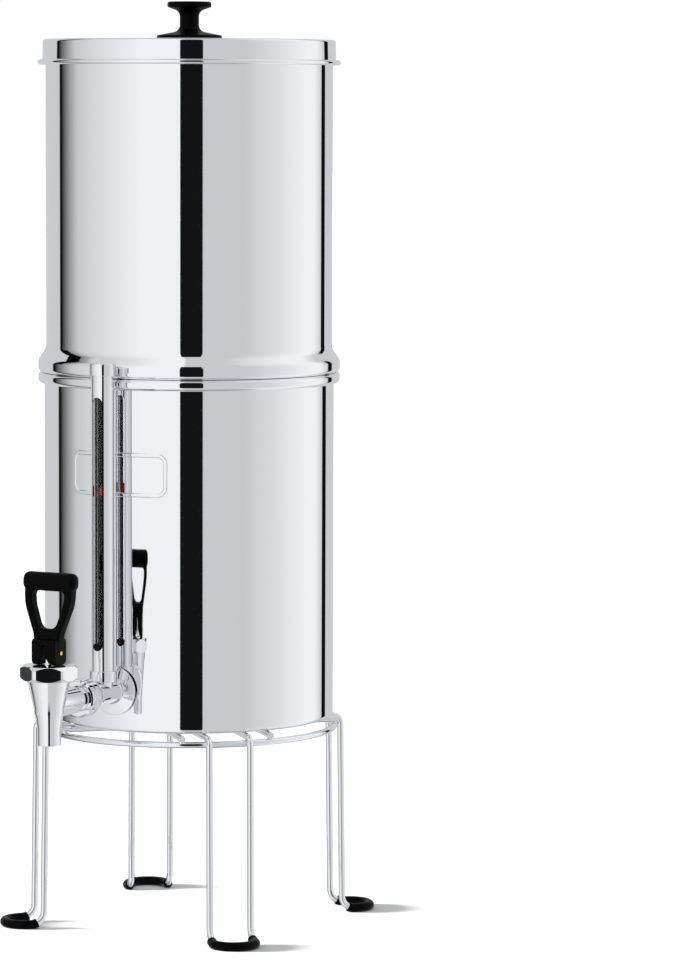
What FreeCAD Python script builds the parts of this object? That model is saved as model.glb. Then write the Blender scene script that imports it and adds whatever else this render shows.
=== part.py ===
"""Gravity water filter with a lever tap: two polished chambers on a wire stand.

Water poured into the upper chamber seeps through two carbon elements, runs down their
hollow stems into the lower chamber, and leaves by the tap. A float in a glass tube shows
how full the lower chamber is. Lengths are in millimetres. Z points up, the origin is on
the floor on the chambers' axis, and the tap points towards -Y.
"""
import FreeCAD
import Part
import math
import os

point = FreeCAD.Vector
ORIGIN = point(0, 0, 0)
X_AXIS = point(1, 0, 0)
Y_AXIS = point(0, 1, 0)
Z_AXIS = point(0, 0, 1)

# Clearances
RUN = 0.05
FREE = 0.3
SPIGOT_GAP = 0.6
LID_GAP = 1.2
WELD = 0.3

# Sheet steel of the chambers and the lid
SHEET = 0.8

# Wire stand
WIRE_D = 5.0
STAND_H = 155.7
RING_OUTSIDE = 1.1
LEG_COUNT = 4
LEG_SPACING = 31.2
LEG_LEAN = 2.0
TOP_BEND_R = 6.0
FOOT_BEND_R = 10.0
FOOT_REACH = 26.0
FOOT_CORNER_R = 15.0
HAIRPIN_APEX = 51.0
HAIRPIN_RETURN = 34.0
HAIRPIN_R = 9.0
SLEEVE_WALL = 1.1
SLEEVE_FLAT = 0.45
SLEEVE_START_DEG = 60.0

# Lower chamber
LOWER_R = 109.4
LOWER_H = 261.8
LOWER_CORNER_R = 4.0
BEAD_REACH = 4.6
BEAD_H = 8.3
BEAD_ROUND = 3.4
BEAD_TOP_ROUND = 2.8

# Upper chamber
UPPER_H = 248.7
SPIGOT_DEPTH = 22.8
UPPER_CORNER_R = 6.0
SHOULDER_H = 9.2
SHOULDER_DEG = 35.0
SHOULDER_R = 6.0
FLARE_R = 10.0

# Lid and its knob
LID_SKIRT = 18.9
LID_SPREAD = 0.4
LID_CORNER_R = 2.0
LID_CURL = 3.8
KNOB_H = 28.5
KNOB_BASE_R = 24.5
KNOB_BASE_H = 2.2
KNOB_WAIST_R = 7.2
KNOB_TOP_R = 16.5
KNOB_TOP_H = 4.0
KNOB_BORE = 16.0
SCREW_R = 2.5
SCREW_HEAD_R = 4.6
SCREW_HEAD_H = 2.8
WASHER_R = 7.5
WASHER_H = 1.2

# Filter elements
ELEMENT_COUNT = 2
ELEMENT_PITCH = 100.0
BLOCK_R = 29.65
BLOCK_BORE_R = 9.0
BLOCK_END = 12.0
ELEMENT_H = 237.0
CAP_R = 31.0
CAP_H = 13.0
CAP_PLATE = 3.0
CAP_BOSS_R = 15.0
CAP_BOSS_H = 2.5
ELEMENT_SEAL_H = 6.0
STEM_R = 4.5
STEM_BORE_R = 2.2
STEM_H = 38.0
WING_SPAN = 32.6
WING_W = 9.0
WING_H = 8.0
WING_HUB_R = 7.5
WING_COUNT = 4

# Outlet: distances along the tap direction, heights above the chamber's floor
OUTLET_UP = 31.2
SHANK_R = 8.0
SHANK_INSIDE = 13.0
BORE_R = 4.5
OUTER_SEAL = 1.2
OUTER_SEAL_R = 13.0
INNER_SEAL = 3.0
INNER_SEAL_R = 13.0
SHANK_NUT_AF = 27.0
SHANK_NUT_H = 6.0
FLANGE_R = 18.25
FLANGE_H = 3.4
BARREL_R = 8.5
BARREL_AHEAD = 15.5
THREAD_R = 6.9
THREAD_L = 10.0
COUPLING_R = 14.0
COUPLING_L = 22.0
COUPLING_FLARE = 9.0

# Sight gauge
GAUGE_CLEAR = 3.0
GAUGE_BOSS_R = 7.5
GAUGE_BOSS_H = 1.3
GAUGE_BORE_R = 2.5
COLLAR_R = 9.8
COLLAR_H = 8.2
GUARD_R = 8.25
GUARD_WALL = 1.5
GUARD_H = 231.0
SLOT_W = 8.0
SLOT_START = 22.0
SLOT_TOP = 22.5
GAUGE_CAP_R = 9.5
GAUGE_CAP_LAP = 6.7
GAUGE_CAP_TOP = 2.4
GLASS_R = 6.0
GLASS_WALL = 1.25
GLASS_FOOT = 2.5
GLASS_SHORT = 4.0
LOWER_SEAL_H = 25.5
UPPER_SEAL_H = 10.0
FLOAT_R = 4.0
FLOAT_UP = 139.0

# Tap, heights taken from the outlet's centre
TAP_BOSS_R = 10.0
TAP_BOSS_L = 38.0
TAP_TOP_R = 16.0
TAP_TOP_UP = 18.3
SPOUT_R = 8.7
SPOUT_BORE_R = 6.0
SPOUT_TOP_DOWN = 17.9
SPOUT_END_DOWN = 29.2
CONE_HOLLOW = 0.6
CHAMBER_R = 11.05
CHAMBER_UP = 2.8
SEAT_R = 8.3
SEAT_DOWN = 6.2
BONNET_AF = 37.6
BONNET_H = 11.0
BONNET_PLUG = 6.0
NUT_CHAMFER = 2.9
NUT_CORNER_R = 3.7
VALVE_STEM_R = 3.5
TONGUE_W = 2.4
TONGUE_SUNK = 1.5
TONGUE_UP = 4.1
PIN_UP = 8.9
PIN_R = 1.5
PIN_PROUD = 0.5
BUTTON_R = 5.0
BUTTON_H = 2.0
CUP_R = 7.6
CUP_H = 9.5
CUP_SOLE = 5.0

# Tap lever
LEVER_GAP = 0.2
BLOCK_W = 20.0
BLOCK_D = 16.0
BLOCK_H = 19.0
CAM_R = 4.5
LEVER_LEAN_DEG = 4.0
FORK_CLEAR = 0.15
FORK_FOOT_W = 9.8
FLARE_UP = 6.8
FORK_UP = 6.2
GRIP_W = 43.6
GRIP_H = 13.5
GRIP_D = 12.0
GRIP_ROUND = 5.0
LEVER_H = 66.7
ARM_D = 9.0
ARM_TOP_W = 39.6
ARM_SIDE_W = 38.8
ARM_SIDE_UP = 44.0
ARM_NECK_W = 22.2
ARM_NECK_UP = 22.0
LOOP_TOP_W = 27.4
LOOP_SIDE_W = 26.2
LOOP_SIDE_DOWN = 9.0
LOOP_FOOT_W = 13.8
LOOP_H = 27.2

# Levels and places that follow from the sizes above
WIRE_R = WIRE_D / 2
FLOOR_Z = STAND_H + FREE
RIM_Z = FLOOR_Z + LOWER_H
UPPER_R = LOWER_R - SHEET - SPIGOT_GAP
UPPER_FLOOR_Z = RIM_Z - SPIGOT_DEPTH
UPPER_RIM_Z = RIM_Z + UPPER_H
LID_TOP_Z = UPPER_RIM_Z + SHEET
BEAD_R = LOWER_R + BEAD_REACH
RING_R = LOWER_R + RING_OUTSIDE
LEG_WIRE_Z = STAND_H - WIRE_R
RING_Z = LEG_WIRE_Z - WIRE_D + WELD
LEG_TOP_REACH = RING_R + WIRE_D
SLEEVE_R = WIRE_R + SLEEVE_WALL
FOOT_WIRE_Z = SLEEVE_R - SLEEVE_FLAT
OUTLET_Z = FLOOR_Z + OUTLET_UP
FLANGE_OUT = LOWER_R + OUTER_SEAL
GAUGE_AXIS_OUT = BEAD_R + GAUGE_CLEAR + GAUGE_CAP_R
BARREL_END_OUT = GAUGE_AXIS_OUT + BARREL_AHEAD
COUPLING_END_OUT = BARREL_END_OUT + COUPLING_L
TAP_OUT = COUPLING_END_OUT + TAP_BOSS_L
COLLAR_Z = OUTLET_Z + BARREL_R + FREE
GAUGE_FOOT_Z = OUTLET_Z + BARREL_R + GAUGE_BOSS_H
GUARD_TOP_Z = GAUGE_FOOT_Z + GUARD_H
BONNET_Z = OUTLET_Z + TAP_TOP_UP
BONNET_TOP_Z = BONNET_Z + BONNET_H
SEAT_Z = OUTLET_Z - SEAT_DOWN
PIN_Z = BONNET_TOP_Z + PIN_UP
LEVER_FOOT_Z = BONNET_TOP_Z + LEVER_GAP


def rounded_corner(before, corner, after, radius):
    """Start, middle and end of the arc that rounds one corner of a path."""
    back = (before - corner).normalize()
    ahead = (after - corner).normalize()
    half = back.getAngle(ahead) / 2
    inward = (back + ahead).normalize()
    start = corner + back * (radius / math.tan(half))
    end = corner + ahead * (radius / math.tan(half))
    middle = corner + inward * (radius / math.sin(half) - radius)
    return start, middle, end


def rounded_edges(corners, radii, closed=False):
    """Straight edges through the corners, with an arc at each corner that has a radius."""
    count = len(corners)
    stops = []
    for index, corner in enumerate(corners):
        inner = closed or 0 < index < count - 1
        if inner and radii[index] > 0:
            after = corners[(index + 1) % count]
            stops.append(rounded_corner(corners[index - 1], corner, after, radii[index]))
        else:
            stops.append((corner, None, corner))
    edges = []
    for index, (start, middle, end) in enumerate(stops):
        if middle is not None:
            edges.append(Part.Arc(start, middle, end).toShape())
        if closed or index < count - 1:
            following = stops[(index + 1) % count][0]
            if end.distanceToPoint(following) > 1e-6:
                edges.append(Part.LineSegment(end, following).toShape())
    return edges


def outline_face(corners, radii):
    """Closed flat face with rounded corners."""
    return Part.Face(Part.Wire(rounded_edges(corners, radii, closed=True)))


def profile(pairs):
    """Points in the XZ plane from pairs of radius and height."""
    return [point(radius, 0, height) for radius, height in pairs]


def shifted_path(corners, radii, shift):
    """Path moved sideways by shift in the XZ plane, its corner radii following."""
    sides = []
    for start, end in zip(corners, corners[1:]):
        along = (end - start).normalize()
        sides.append(point(-along.z, 0, along.x))
    moved = [corners[0] + sides[0] * shift]
    moved_radii = [0]
    for index in range(1, len(corners) - 1):
        before = sides[index - 1]
        after = sides[index]
        mitre = (before + after) * (shift / (1 + before.dot(after)))
        moved.append(corners[index] + mitre)
        turn = 1 if before.cross(after).y < 0 else -1
        moved_radii.append(radii[index] - turn * shift)
    moved.append(corners[-1] + sides[-1] * shift)
    moved_radii.append(0)
    return moved, moved_radii


def sheet_face(pairs, radii, thickness):
    """Face of a bent sheet, from the line along the middle of its thickness."""
    corners = profile(pairs)
    left = rounded_edges(*shifted_path(corners, radii, thickness / 2))
    right = rounded_edges(*shifted_path(corners, radii, -thickness / 2))
    start_cap = Part.LineSegment(right[0].Vertexes[0].Point, left[0].Vertexes[0].Point)
    end_cap = Part.LineSegment(left[-1].Vertexes[-1].Point, right[-1].Vertexes[-1].Point)
    edges = left + right + [start_cap.toShape(), end_cap.toShape()]
    return Part.Face(Part.Wire(Part.__sortEdges__(edges)))


def turned(face):
    """Solid of revolution about the Z axis."""
    solid = face.revolve(ORIGIN, Z_AXIS, 360)
    return Part.makeSolid(solid) if solid.ShapeType == "Shell" else solid


def turned_profile(pairs, radii=None):
    """Solid turned from a closed outline of radius and height pairs."""
    return turned(outline_face(profile(pairs), radii or [0] * len(pairs)))


def tube(outer, inner, height, base=0.0):
    """Straight tube standing on the level base."""
    solid = Part.makeCylinder(outer, height, point(0, 0, base))
    return solid.cut(Part.makeCylinder(inner, height, point(0, 0, base)))


def swept_round(edges, radius):
    """Round bar of one radius along a smooth path."""
    first = edges[0]
    start = first.valueAt(first.FirstParameter)
    heading = first.tangentAt(first.FirstParameter)
    section = Part.Face(Part.Wire(Part.Circle(start, heading, radius).toShape()))
    return Part.Wire(edges).makePipe(section)


def hexagon_bar(across_flats, height, chamfer, corner_radius=0.0):
    """Hexagonal bar standing on zero, chamfered at both ends, with a corner facing -Y."""
    reach = across_flats / math.sqrt(3)
    flat = across_flats / 2
    corners = []
    for step in range(6):
        angle = math.radians(60 * step + 30)
        corners.append(point(reach * math.cos(angle), reach * math.sin(angle), 0))
    bar = outline_face(corners, [corner_radius] * 6).extrude(point(0, 0, height))
    blank = [(0, 0), (flat, 0), (reach, chamfer), (reach, height - chamfer), (flat, height), (0, height)]
    return bar.common(turned_profile(blank))


def outward(shape):
    """Lay a shape built up from zero along the tap direction, at the outlet's height."""
    laid = shape.copy()
    laid.rotate(ORIGIN, X_AXIS, 90)
    laid.translate(point(0, 0, OUTLET_Z))
    return laid


def at_gauge(shape):
    """Move a shape built on the Z axis to the gauge's axis."""
    return shape.translated(point(0, -GAUGE_AXIS_OUT, 0))


def at_tap(shape):
    """Move a shape built on the Z axis to the tap's axis."""
    return shape.translated(point(0, -TAP_OUT, 0))


def leg_path():
    """Corners and radii of one leg's wire, its foot pointing along +X."""
    side = LEG_SPACING / 2
    end_reach = math.sqrt((RING_R + WIRE_R) ** 2 - HAIRPIN_RETURN ** 2)
    foot_reach = LEG_TOP_REACH + LEG_LEAN
    half = [
        (end_reach, HAIRPIN_RETURN, LEG_WIRE_Z, 0),
        (HAIRPIN_APEX, HAIRPIN_RETURN, LEG_WIRE_Z, HAIRPIN_R),
        (HAIRPIN_APEX, side, LEG_WIRE_Z, HAIRPIN_R),
        (LEG_TOP_REACH, side, LEG_WIRE_Z, TOP_BEND_R),
        (foot_reach, side, FOOT_WIRE_Z, FOOT_BEND_R),
        (foot_reach + FOOT_REACH, side, FOOT_WIRE_Z, FOOT_CORNER_R),
    ]
    whole = half + [(x, -y, z, radius) for x, y, z, radius in reversed(half)]
    corners = [point(x, y, z) for x, y, z, radius in whole]
    radii = [radius for x, y, z, radius in whole]
    return corners, radii


def foot_path():
    """Corners and radii of the part of a leg's wire that lies in its foot."""
    corners, radii = leg_path()
    middle = len(corners) // 2
    near = corners[middle - 2]
    high = near + point(0, 0, 2 * FOOT_BEND_R) - point(LEG_LEAN * 2 * FOOT_BEND_R / LEG_WIRE_Z, 0, 0)
    half = [high] + corners[middle - 2:middle]
    mirrored = [point(corner.x, -corner.y, corner.z) for corner in reversed(half)]
    half_radii = [0, FOOT_BEND_R, FOOT_CORNER_R]
    return half + mirrored, half_radii + half_radii[::-1]


def foot_sleeve(leg):
    """Rubber sleeve on the foot of a leg, cut flat where it stands."""
    sleeve = swept_round(rounded_edges(*foot_path()), SLEEVE_R).cut(leg)
    bend_reach = LEG_TOP_REACH + LEG_LEAN + FOOT_BEND_R
    start = math.radians(SLEEVE_START_DEG)
    mouth_x = bend_reach - FOOT_BEND_R * math.cos(start)
    mouth_z = FOOT_WIRE_Z + FOOT_BEND_R * (1 - math.sin(start))
    room = 4 * FOOT_REACH
    keep = Part.makeBox(room, 2 * room, 2 * room, point(0, -room, -room))
    keep.rotate(ORIGIN, Y_AXIS, 90 - SLEEVE_START_DEG)
    keep.translate(point(mouth_x, 0, mouth_z))
    floor = Part.makeBox(3 * room, 2 * room, room, point(0, -room, 0))
    return sleeve.common(keep).common(floor)


def stand():
    """Wire ring, four bent legs welded on it and a sleeve on each foot."""
    nodes = {"stand_ring": Part.makeTorus(RING_R, WIRE_R, point(0, 0, RING_Z))}
    leg = swept_round(rounded_edges(*leg_path()), WIRE_R)
    sleeve = foot_sleeve(leg)
    places = ("front_right", "rear_right", "rear_left", "front_left")
    for index in range(LEG_COUNT):
        turn = 360 / LEG_COUNT * (index - 0.5)
        nodes["leg_" + places[index]] = leg.rotated(ORIGIN, Z_AXIS, turn)
        nodes["foot_sleeve_" + places[index]] = sleeve.rotated(ORIGIN, Z_AXIS, turn)
    return nodes


def lower_chamber():
    """Spun steel chamber with a rolled bead round its mouth and a hole for the outlet."""
    middle = SHEET / 2
    wall = LOWER_R - middle
    bead = BEAD_R - middle
    line = [
        (0, FLOOR_Z + middle),
        (wall, FLOOR_Z + middle),
        (wall, RIM_Z - middle),
        (bead, RIM_Z - middle),
        (bead, RIM_Z - BEAD_H + middle),
        (LOWER_R + FREE + middle, RIM_Z - BEAD_H + middle),
    ]
    radii = [0, LOWER_CORNER_R - middle, SHEET + middle, BEAD_TOP_ROUND - middle, BEAD_ROUND - middle, 0]
    shell = turned(sheet_face(line, radii, SHEET))
    hole = outward(Part.makeCylinder(SHANK_R + FREE, LOWER_R))
    return shell.cut(hole)


def element_places():
    """Centres of the filter elements on the upper chamber's floor."""
    first = -ELEMENT_PITCH * (ELEMENT_COUNT - 1) / 2
    return [point(first + ELEMENT_PITCH * index, 0, 0) for index in range(ELEMENT_COUNT)]


def upper_chamber():
    """Chamber with a shoulder that sits on the lower rim and holes for the element stems."""
    middle = SHEET / 2
    wall = UPPER_R - middle
    bead = BEAD_R - middle
    slope = math.radians(SHOULDER_DEG)
    shoulder_z = RIM_Z + SHOULDER_H
    flare_z = shoulder_z + (bead - wall) / math.tan(slope)
    line = [
        (0, UPPER_FLOOR_Z + middle),
        (wall, UPPER_FLOOR_Z + middle),
        (wall, RIM_Z + middle),
        (bead, RIM_Z + middle),
        (bead, shoulder_z),
        (wall, flare_z),
        (wall, UPPER_RIM_Z),
    ]
    radii = [0, UPPER_CORNER_R - middle, SHEET, BEAD_ROUND - middle, SHOULDER_R, FLARE_R, 0]
    shell = turned(sheet_face(line, radii, SHEET))
    for place in element_places():
        shell = shell.cut(Part.makeCylinder(STEM_R + FREE, UPPER_R, place + point(0, 0, UPPER_FLOOR_Z - 1)))
    return shell


def lid():
    """Slip-on lid: flat top, slightly spreading skirt and a curled lower edge."""
    middle = SHEET / 2
    top = LID_TOP_Z - middle
    skirt_top = UPPER_R + LID_GAP + middle
    skirt_foot = skirt_top + LID_SPREAD
    foot_z = LID_TOP_Z - LID_SKIRT
    curl = BEAD_R - middle
    curl_round = LID_CURL / 2 - middle
    line = [
        (0, top),
        (skirt_top, top),
        (skirt_foot, foot_z + middle),
        (curl, foot_z + middle),
        (curl, foot_z + LID_CURL - middle),
        (skirt_foot + SHEET + FREE, foot_z + LID_CURL - middle),
    ]
    radii = [0, LID_CORNER_R - middle, middle + FREE, curl_round, curl_round, 0]
    shell = turned(sheet_face(line, radii, SHEET))
    return shell.cut(Part.makeCylinder(SCREW_R + FREE, 2 * SHEET, point(0, 0, top - SHEET)))


def lid_knob():
    """Turned knob with a wide foot, a narrow waist and a thick top disc."""
    outline = [
        (0, 0),
        (KNOB_BASE_R, 0),
        (KNOB_BASE_R, KNOB_BASE_H),
        (KNOB_WAIST_R, 2 * KNOB_BASE_H),
        (KNOB_WAIST_R, KNOB_H - KNOB_TOP_H - KNOB_BASE_H),
        (KNOB_TOP_R, KNOB_H - KNOB_TOP_H),
        (KNOB_TOP_R, KNOB_H),
        (0, KNOB_H),
    ]
    radii = [0, 0, 1.0, 5.5, 5.5, 1.2, 1.6, 0]
    body = turned_profile(outline, radii)
    bore = Part.makeCylinder(SCREW_R + RUN, KNOB_BORE)
    return body.cut(bore).translated(point(0, 0, LID_TOP_Z))


def knob_screw():
    """Screw that holds the knob from inside the lid, over a washer."""
    head_top = LID_TOP_Z - SHEET - WASHER_H
    shank = KNOB_BORE - 1 + SHEET + WASHER_H
    outline = [
        (0, -SCREW_HEAD_H),
        (SCREW_HEAD_R, -SCREW_HEAD_H),
        (SCREW_HEAD_R, 0),
        (SCREW_R, 0),
        (SCREW_R, shank),
        (0, shank),
    ]
    return turned_profile(outline, [0, 1.4, 0, 0, 0, 0]).translated(point(0, 0, head_top))


def knob_washer():
    """Flat washer under the head of the knob's screw."""
    return tube(WASHER_R, SCREW_R + FREE, WASHER_H, LID_TOP_Z - SHEET - WASHER_H)


def filter_element():
    """Block, end cap with its hollow stem, and sealing washer, stem down from zero."""
    plate_z = ELEMENT_SEAL_H + CAP_BOSS_H
    block_z = plate_z + CAP_PLATE
    block_h = ELEMENT_H - CAP_PLATE
    block = turned_profile([
        (BLOCK_BORE_R, block_z),
        (BLOCK_R, block_z),
        (BLOCK_R, block_z + block_h),
        (0, block_z + block_h),
        (0, block_z + block_h - BLOCK_END),
        (BLOCK_BORE_R, block_z + block_h - BLOCK_END),
    ], [0, 0, 1.5, 0, 0, 0])
    cap = turned_profile([
        (STEM_BORE_R, plate_z - STEM_H),
        (STEM_R, plate_z - STEM_H),
        (STEM_R, ELEMENT_SEAL_H),
        (CAP_BOSS_R, ELEMENT_SEAL_H),
        (CAP_BOSS_R, plate_z),
        (CAP_R, plate_z),
        (CAP_R, plate_z + CAP_H),
        (BLOCK_R + RUN, plate_z + CAP_H),
        (BLOCK_R + RUN, block_z),
        (STEM_BORE_R, block_z),
    ], [0, 0, 0, 0, 0, 1.2, 0, 0, 0, 0])
    seal = tube(CAP_BOSS_R, STEM_R + RUN, ELEMENT_SEAL_H)
    return block, cap, seal


def wing_nut():
    """Moulded nut with four flat wings on a thin round flange, top at zero."""
    nut = tube(WING_HUB_R, STEM_R + RUN, WING_H, -WING_H)
    flange = tube(WING_SPAN / 2 - 3, STEM_R + RUN, 1.0, -1.0)
    nut = nut.fuse(flange)
    inner = (WING_HUB_R + STEM_R) / 2
    outer = WING_SPAN / 2
    half = WING_W / 2
    wing_outline = [
        point(inner, -half + 1, -WING_H),
        point(outer, -half, -WING_H),
        point(outer, half, -WING_H),
        point(inner, half - 1, -WING_H),
    ]
    wing = outline_face(wing_outline, [0, 1.5, 1.5, 0]).extrude(point(0, 0, WING_H - 1.0))
    for index in range(WING_COUNT):
        nut = nut.fuse(wing.rotated(ORIGIN, Z_AXIS, 360 / WING_COUNT * index))
    return nut.removeSplitter()


def elements():
    """Filter elements standing stem down on the upper chamber's floor, with their nuts."""
    nodes = {}
    block, cap, seal = filter_element()
    for index, place in enumerate(element_places()):
        seat = place + point(0, 0, UPPER_FLOOR_Z + SHEET)
        under = place + point(0, 0, UPPER_FLOOR_Z)
        name = str(index + 1)
        nodes["element_block_" + name] = block.translated(seat)
        nodes["element_cap_" + name] = cap.translated(seat)
        nodes["element_seal_" + name] = seal.translated(seat)
        nodes["wing_nut_" + name] = wing_nut().translated(under)
    return nodes


def wall_seals():
    """Rubber seals on both sides of the chamber's wall, shaped to its curve."""
    wall = Part.makeCylinder(LOWER_R + RUN, 4 * FLANGE_R, point(0, 0, OUTLET_Z - 2 * FLANGE_R))
    outer_start = LOWER_R - OUTER_SEAL
    outer = tube(OUTER_SEAL_R, SHANK_R + RUN, FLANGE_OUT - outer_start, outer_start)
    inner_face = LOWER_R - SHEET - INNER_SEAL
    inner = tube(INNER_SEAL_R, SHANK_R + RUN, INNER_SEAL, inner_face)
    hollow = Part.makeCylinder(LOWER_R - SHEET - RUN, 4 * FLANGE_R, point(0, 0, OUTLET_Z - 2 * FLANGE_R))
    return outward(outer).cut(wall), outward(inner).common(hollow)


def gauge_body():
    """Hollow outlet body: threaded shank, bell flange, barrel and the boss of the gauge."""
    start = LOWER_R - SHANK_INSIDE
    ring = BARREL_END_OUT - 3.0
    outline = [
        (BORE_R, start),
        (SHANK_R, start),
        (SHANK_R, FLANGE_OUT),
        (FLANGE_R, FLANGE_OUT),
        (FLANGE_R, FLANGE_OUT + 1.5),
        (BARREL_R, FLANGE_OUT + FLANGE_H),
        (BARREL_R, ring),
        (BARREL_R + 1.2, ring),
        (BARREL_R + 1.2, BARREL_END_OUT),
        (THREAD_R, BARREL_END_OUT),
        (THREAD_R, BARREL_END_OUT + THREAD_L),
        (BORE_R, BARREL_END_OUT + THREAD_L),
    ]
    radii = [0, 0, 0, 0, 0, 2.0, 0, 0, 0, 0, 0, 0]
    laid = outward(turned_profile(outline, radii))
    boss = at_gauge(Part.makeCylinder(GAUGE_BOSS_R, GAUGE_FOOT_Z - OUTLET_Z, point(0, 0, OUTLET_Z)))
    bore = outward(Part.makeCylinder(BORE_R, BARREL_END_OUT + THREAD_L - start, point(0, 0, start)))
    riser = at_gauge(Part.makeCylinder(GAUGE_BORE_R, GAUGE_FOOT_Z - OUTLET_Z, point(0, 0, OUTLET_Z)))
    return laid.fuse(boss.cut(bore)).removeSplitter().cut(riser)


def shank_nut():
    """Hexagonal nut that clamps the outlet body from inside the chamber."""
    nut = hexagon_bar(SHANK_NUT_AF, SHANK_NUT_H, 1.2)
    nut = nut.cut(Part.makeCylinder(SHANK_R + RUN, SHANK_NUT_H))
    out = LOWER_R - SHEET - INNER_SEAL - SHANK_NUT_H
    return outward(nut.translated(point(0, 0, out)))


def coupling_nut():
    """Flared round nut that joins the tap's tail to the outlet body."""
    groove = COUPLING_FLARE + (COUPLING_L - COUPLING_FLARE) / 2
    outline = [
        (THREAD_R + RUN, 0),
        (BARREL_R + 0.6, 0),
        (COUPLING_R, COUPLING_FLARE),
        (COUPLING_R, groove - 0.7),
        (COUPLING_R - 0.9, groove),
        (COUPLING_R, groove + 0.7),
        (COUPLING_R, COUPLING_L - 1.0),
        (COUPLING_R - 1.4, COUPLING_L),
        (THREAD_R + RUN, COUPLING_L),
    ]
    nut = turned_profile(outline, [0, 0, 3.0, 0, 0, 0, 0, 0, 0])
    return outward(nut.translated(point(0, 0, BARREL_END_OUT)))


def gauge_collar():
    """Round collar that clamps the foot of the gauge's guard."""
    lip = GAUGE_FOOT_Z - COLLAR_Z
    outline = [
        (GAUGE_BOSS_R + RUN, 0),
        (COLLAR_R, 0),
        (COLLAR_R, COLLAR_H),
        (GUARD_R + RUN, COLLAR_H),
        (GUARD_R + RUN, lip),
        (GAUGE_BOSS_R + RUN, lip),
    ]
    return at_gauge(turned_profile(outline, [0, 0, 0.8, 0, 0, 0]).translated(point(0, 0, COLLAR_Z)))


def gauge_guard():
    """Steel tube round the glass, with a long round-ended window in front and one behind."""
    guard = tube(GUARD_R, GUARD_R - GUARD_WALL, GUARD_H)
    half = SLOT_W / 2
    slot_end = GUARD_H - SLOT_TOP
    front = -2 * GUARD_R
    corners = [
        point(-half, front, SLOT_START),
        point(half, front, SLOT_START),
        point(half, front, slot_end),
        point(-half, front, slot_end),
    ]
    edges = rounded_edges(corners, [half - 0.01] * 4, closed=True)
    windows = Part.Face(Part.Wire(edges)).extrude(point(0, 4 * GUARD_R, 0))
    return at_gauge(guard.cut(windows).translated(point(0, 0, GAUGE_FOOT_Z)))


def gauge_cap():
    """Cap that closes the guard at its top."""
    lap = GAUGE_CAP_LAP
    outline = [
        (GUARD_R + RUN, -lap),
        (GAUGE_CAP_R, -lap),
        (GAUGE_CAP_R, GAUGE_CAP_TOP),
        (0, GAUGE_CAP_TOP),
        (0, 0),
        (GUARD_R + RUN, 0),
    ]
    return at_gauge(turned_profile(outline, [0, 0, 1.2, 0, 0, 0]).translated(point(0, 0, GUARD_TOP_Z)))


def gauge_seals():
    """Rubber sleeves that hold the glass at its foot and its top."""
    outer = GUARD_R - GUARD_WALL - RUN
    inner = GLASS_R + RUN
    foot = turned_profile([
        (GAUGE_BORE_R, 0),
        (outer, 0),
        (outer, LOWER_SEAL_H),
        (inner, LOWER_SEAL_H),
        (inner, GLASS_FOOT),
        (GAUGE_BORE_R, GLASS_FOOT),
    ])
    top = tube(outer, inner, UPPER_SEAL_H, GUARD_H - GLASS_SHORT - UPPER_SEAL_H)
    lift = point(0, 0, GAUGE_FOOT_Z)
    return at_gauge(foot.translated(lift)), at_gauge(top.translated(lift))


def glass_tube():
    """Glass tube in which the float rides."""
    length = GUARD_H - GLASS_SHORT - GLASS_FOOT
    return at_gauge(tube(GLASS_R, GLASS_R - GLASS_WALL, length, GAUGE_FOOT_Z + GLASS_FOOT))


def water_float():
    """Small hollow ball that shows the water level."""
    ball = Part.makeSphere(FLOAT_R, point(0, 0, GAUGE_FOOT_Z + FLOAT_UP))
    return at_gauge(ball)


def tap_body():
    """Tapered tap body with its spout, valve seat and the tail towards the chamber."""
    spout_top = OUTLET_Z - SPOUT_TOP_DOWN
    spout_end = OUTLET_Z - SPOUT_END_DOWN
    waist = point((SPOUT_R + TAP_TOP_R) / 2 - CONE_HOLLOW, 0, (spout_top + BONNET_Z) / 2)
    edges = [
        Part.LineSegment(point(0, 0, spout_end), point(SPOUT_R, 0, spout_end)).toShape(),
        Part.LineSegment(point(SPOUT_R, 0, spout_end), point(SPOUT_R, 0, spout_top)).toShape(),
        Part.Arc(point(SPOUT_R, 0, spout_top), waist, point(TAP_TOP_R, 0, BONNET_Z)).toShape(),
        Part.LineSegment(point(TAP_TOP_R, 0, BONNET_Z), point(0, 0, BONNET_Z)).toShape(),
        Part.LineSegment(point(0, 0, BONNET_Z), point(0, 0, spout_end)).toShape(),
    ]
    cone = at_tap(turned(Part.Face(Part.Wire(edges))))
    tail_start = COUPLING_END_OUT - (COUPLING_L - THREAD_L) + 1.0
    tail = outward(Part.makeCylinder(THREAD_R, COUPLING_END_OUT - tail_start, point(0, 0, tail_start)))
    boss_outline = [(0, 0), (TAP_BOSS_R, 0), (TAP_BOSS_R, TAP_BOSS_L), (0, TAP_BOSS_L)]
    boss = turned_profile(boss_outline, [0, 1.0, 0, 0]).translated(point(0, 0, COUPLING_END_OUT))
    hollow = at_tap(turned_profile([
        (0, SEAT_Z),
        (SEAT_R, SEAT_Z),
        (CHAMBER_R, OUTLET_Z + CHAMBER_UP),
        (CHAMBER_R, BONNET_Z),
        (0, BONNET_Z),
    ]))
    spout_bore = at_tap(Part.makeCylinder(SPOUT_BORE_R, SEAT_Z - spout_end, point(0, 0, spout_end)))
    inlet = outward(Part.makeCylinder(BORE_R, TAP_OUT - tail_start, point(0, 0, tail_start)))
    solid = cone.fuse(outward(boss)).fuse(tail).removeSplitter()
    return solid.cut(hollow).cut(spout_bore).cut(inlet)


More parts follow.
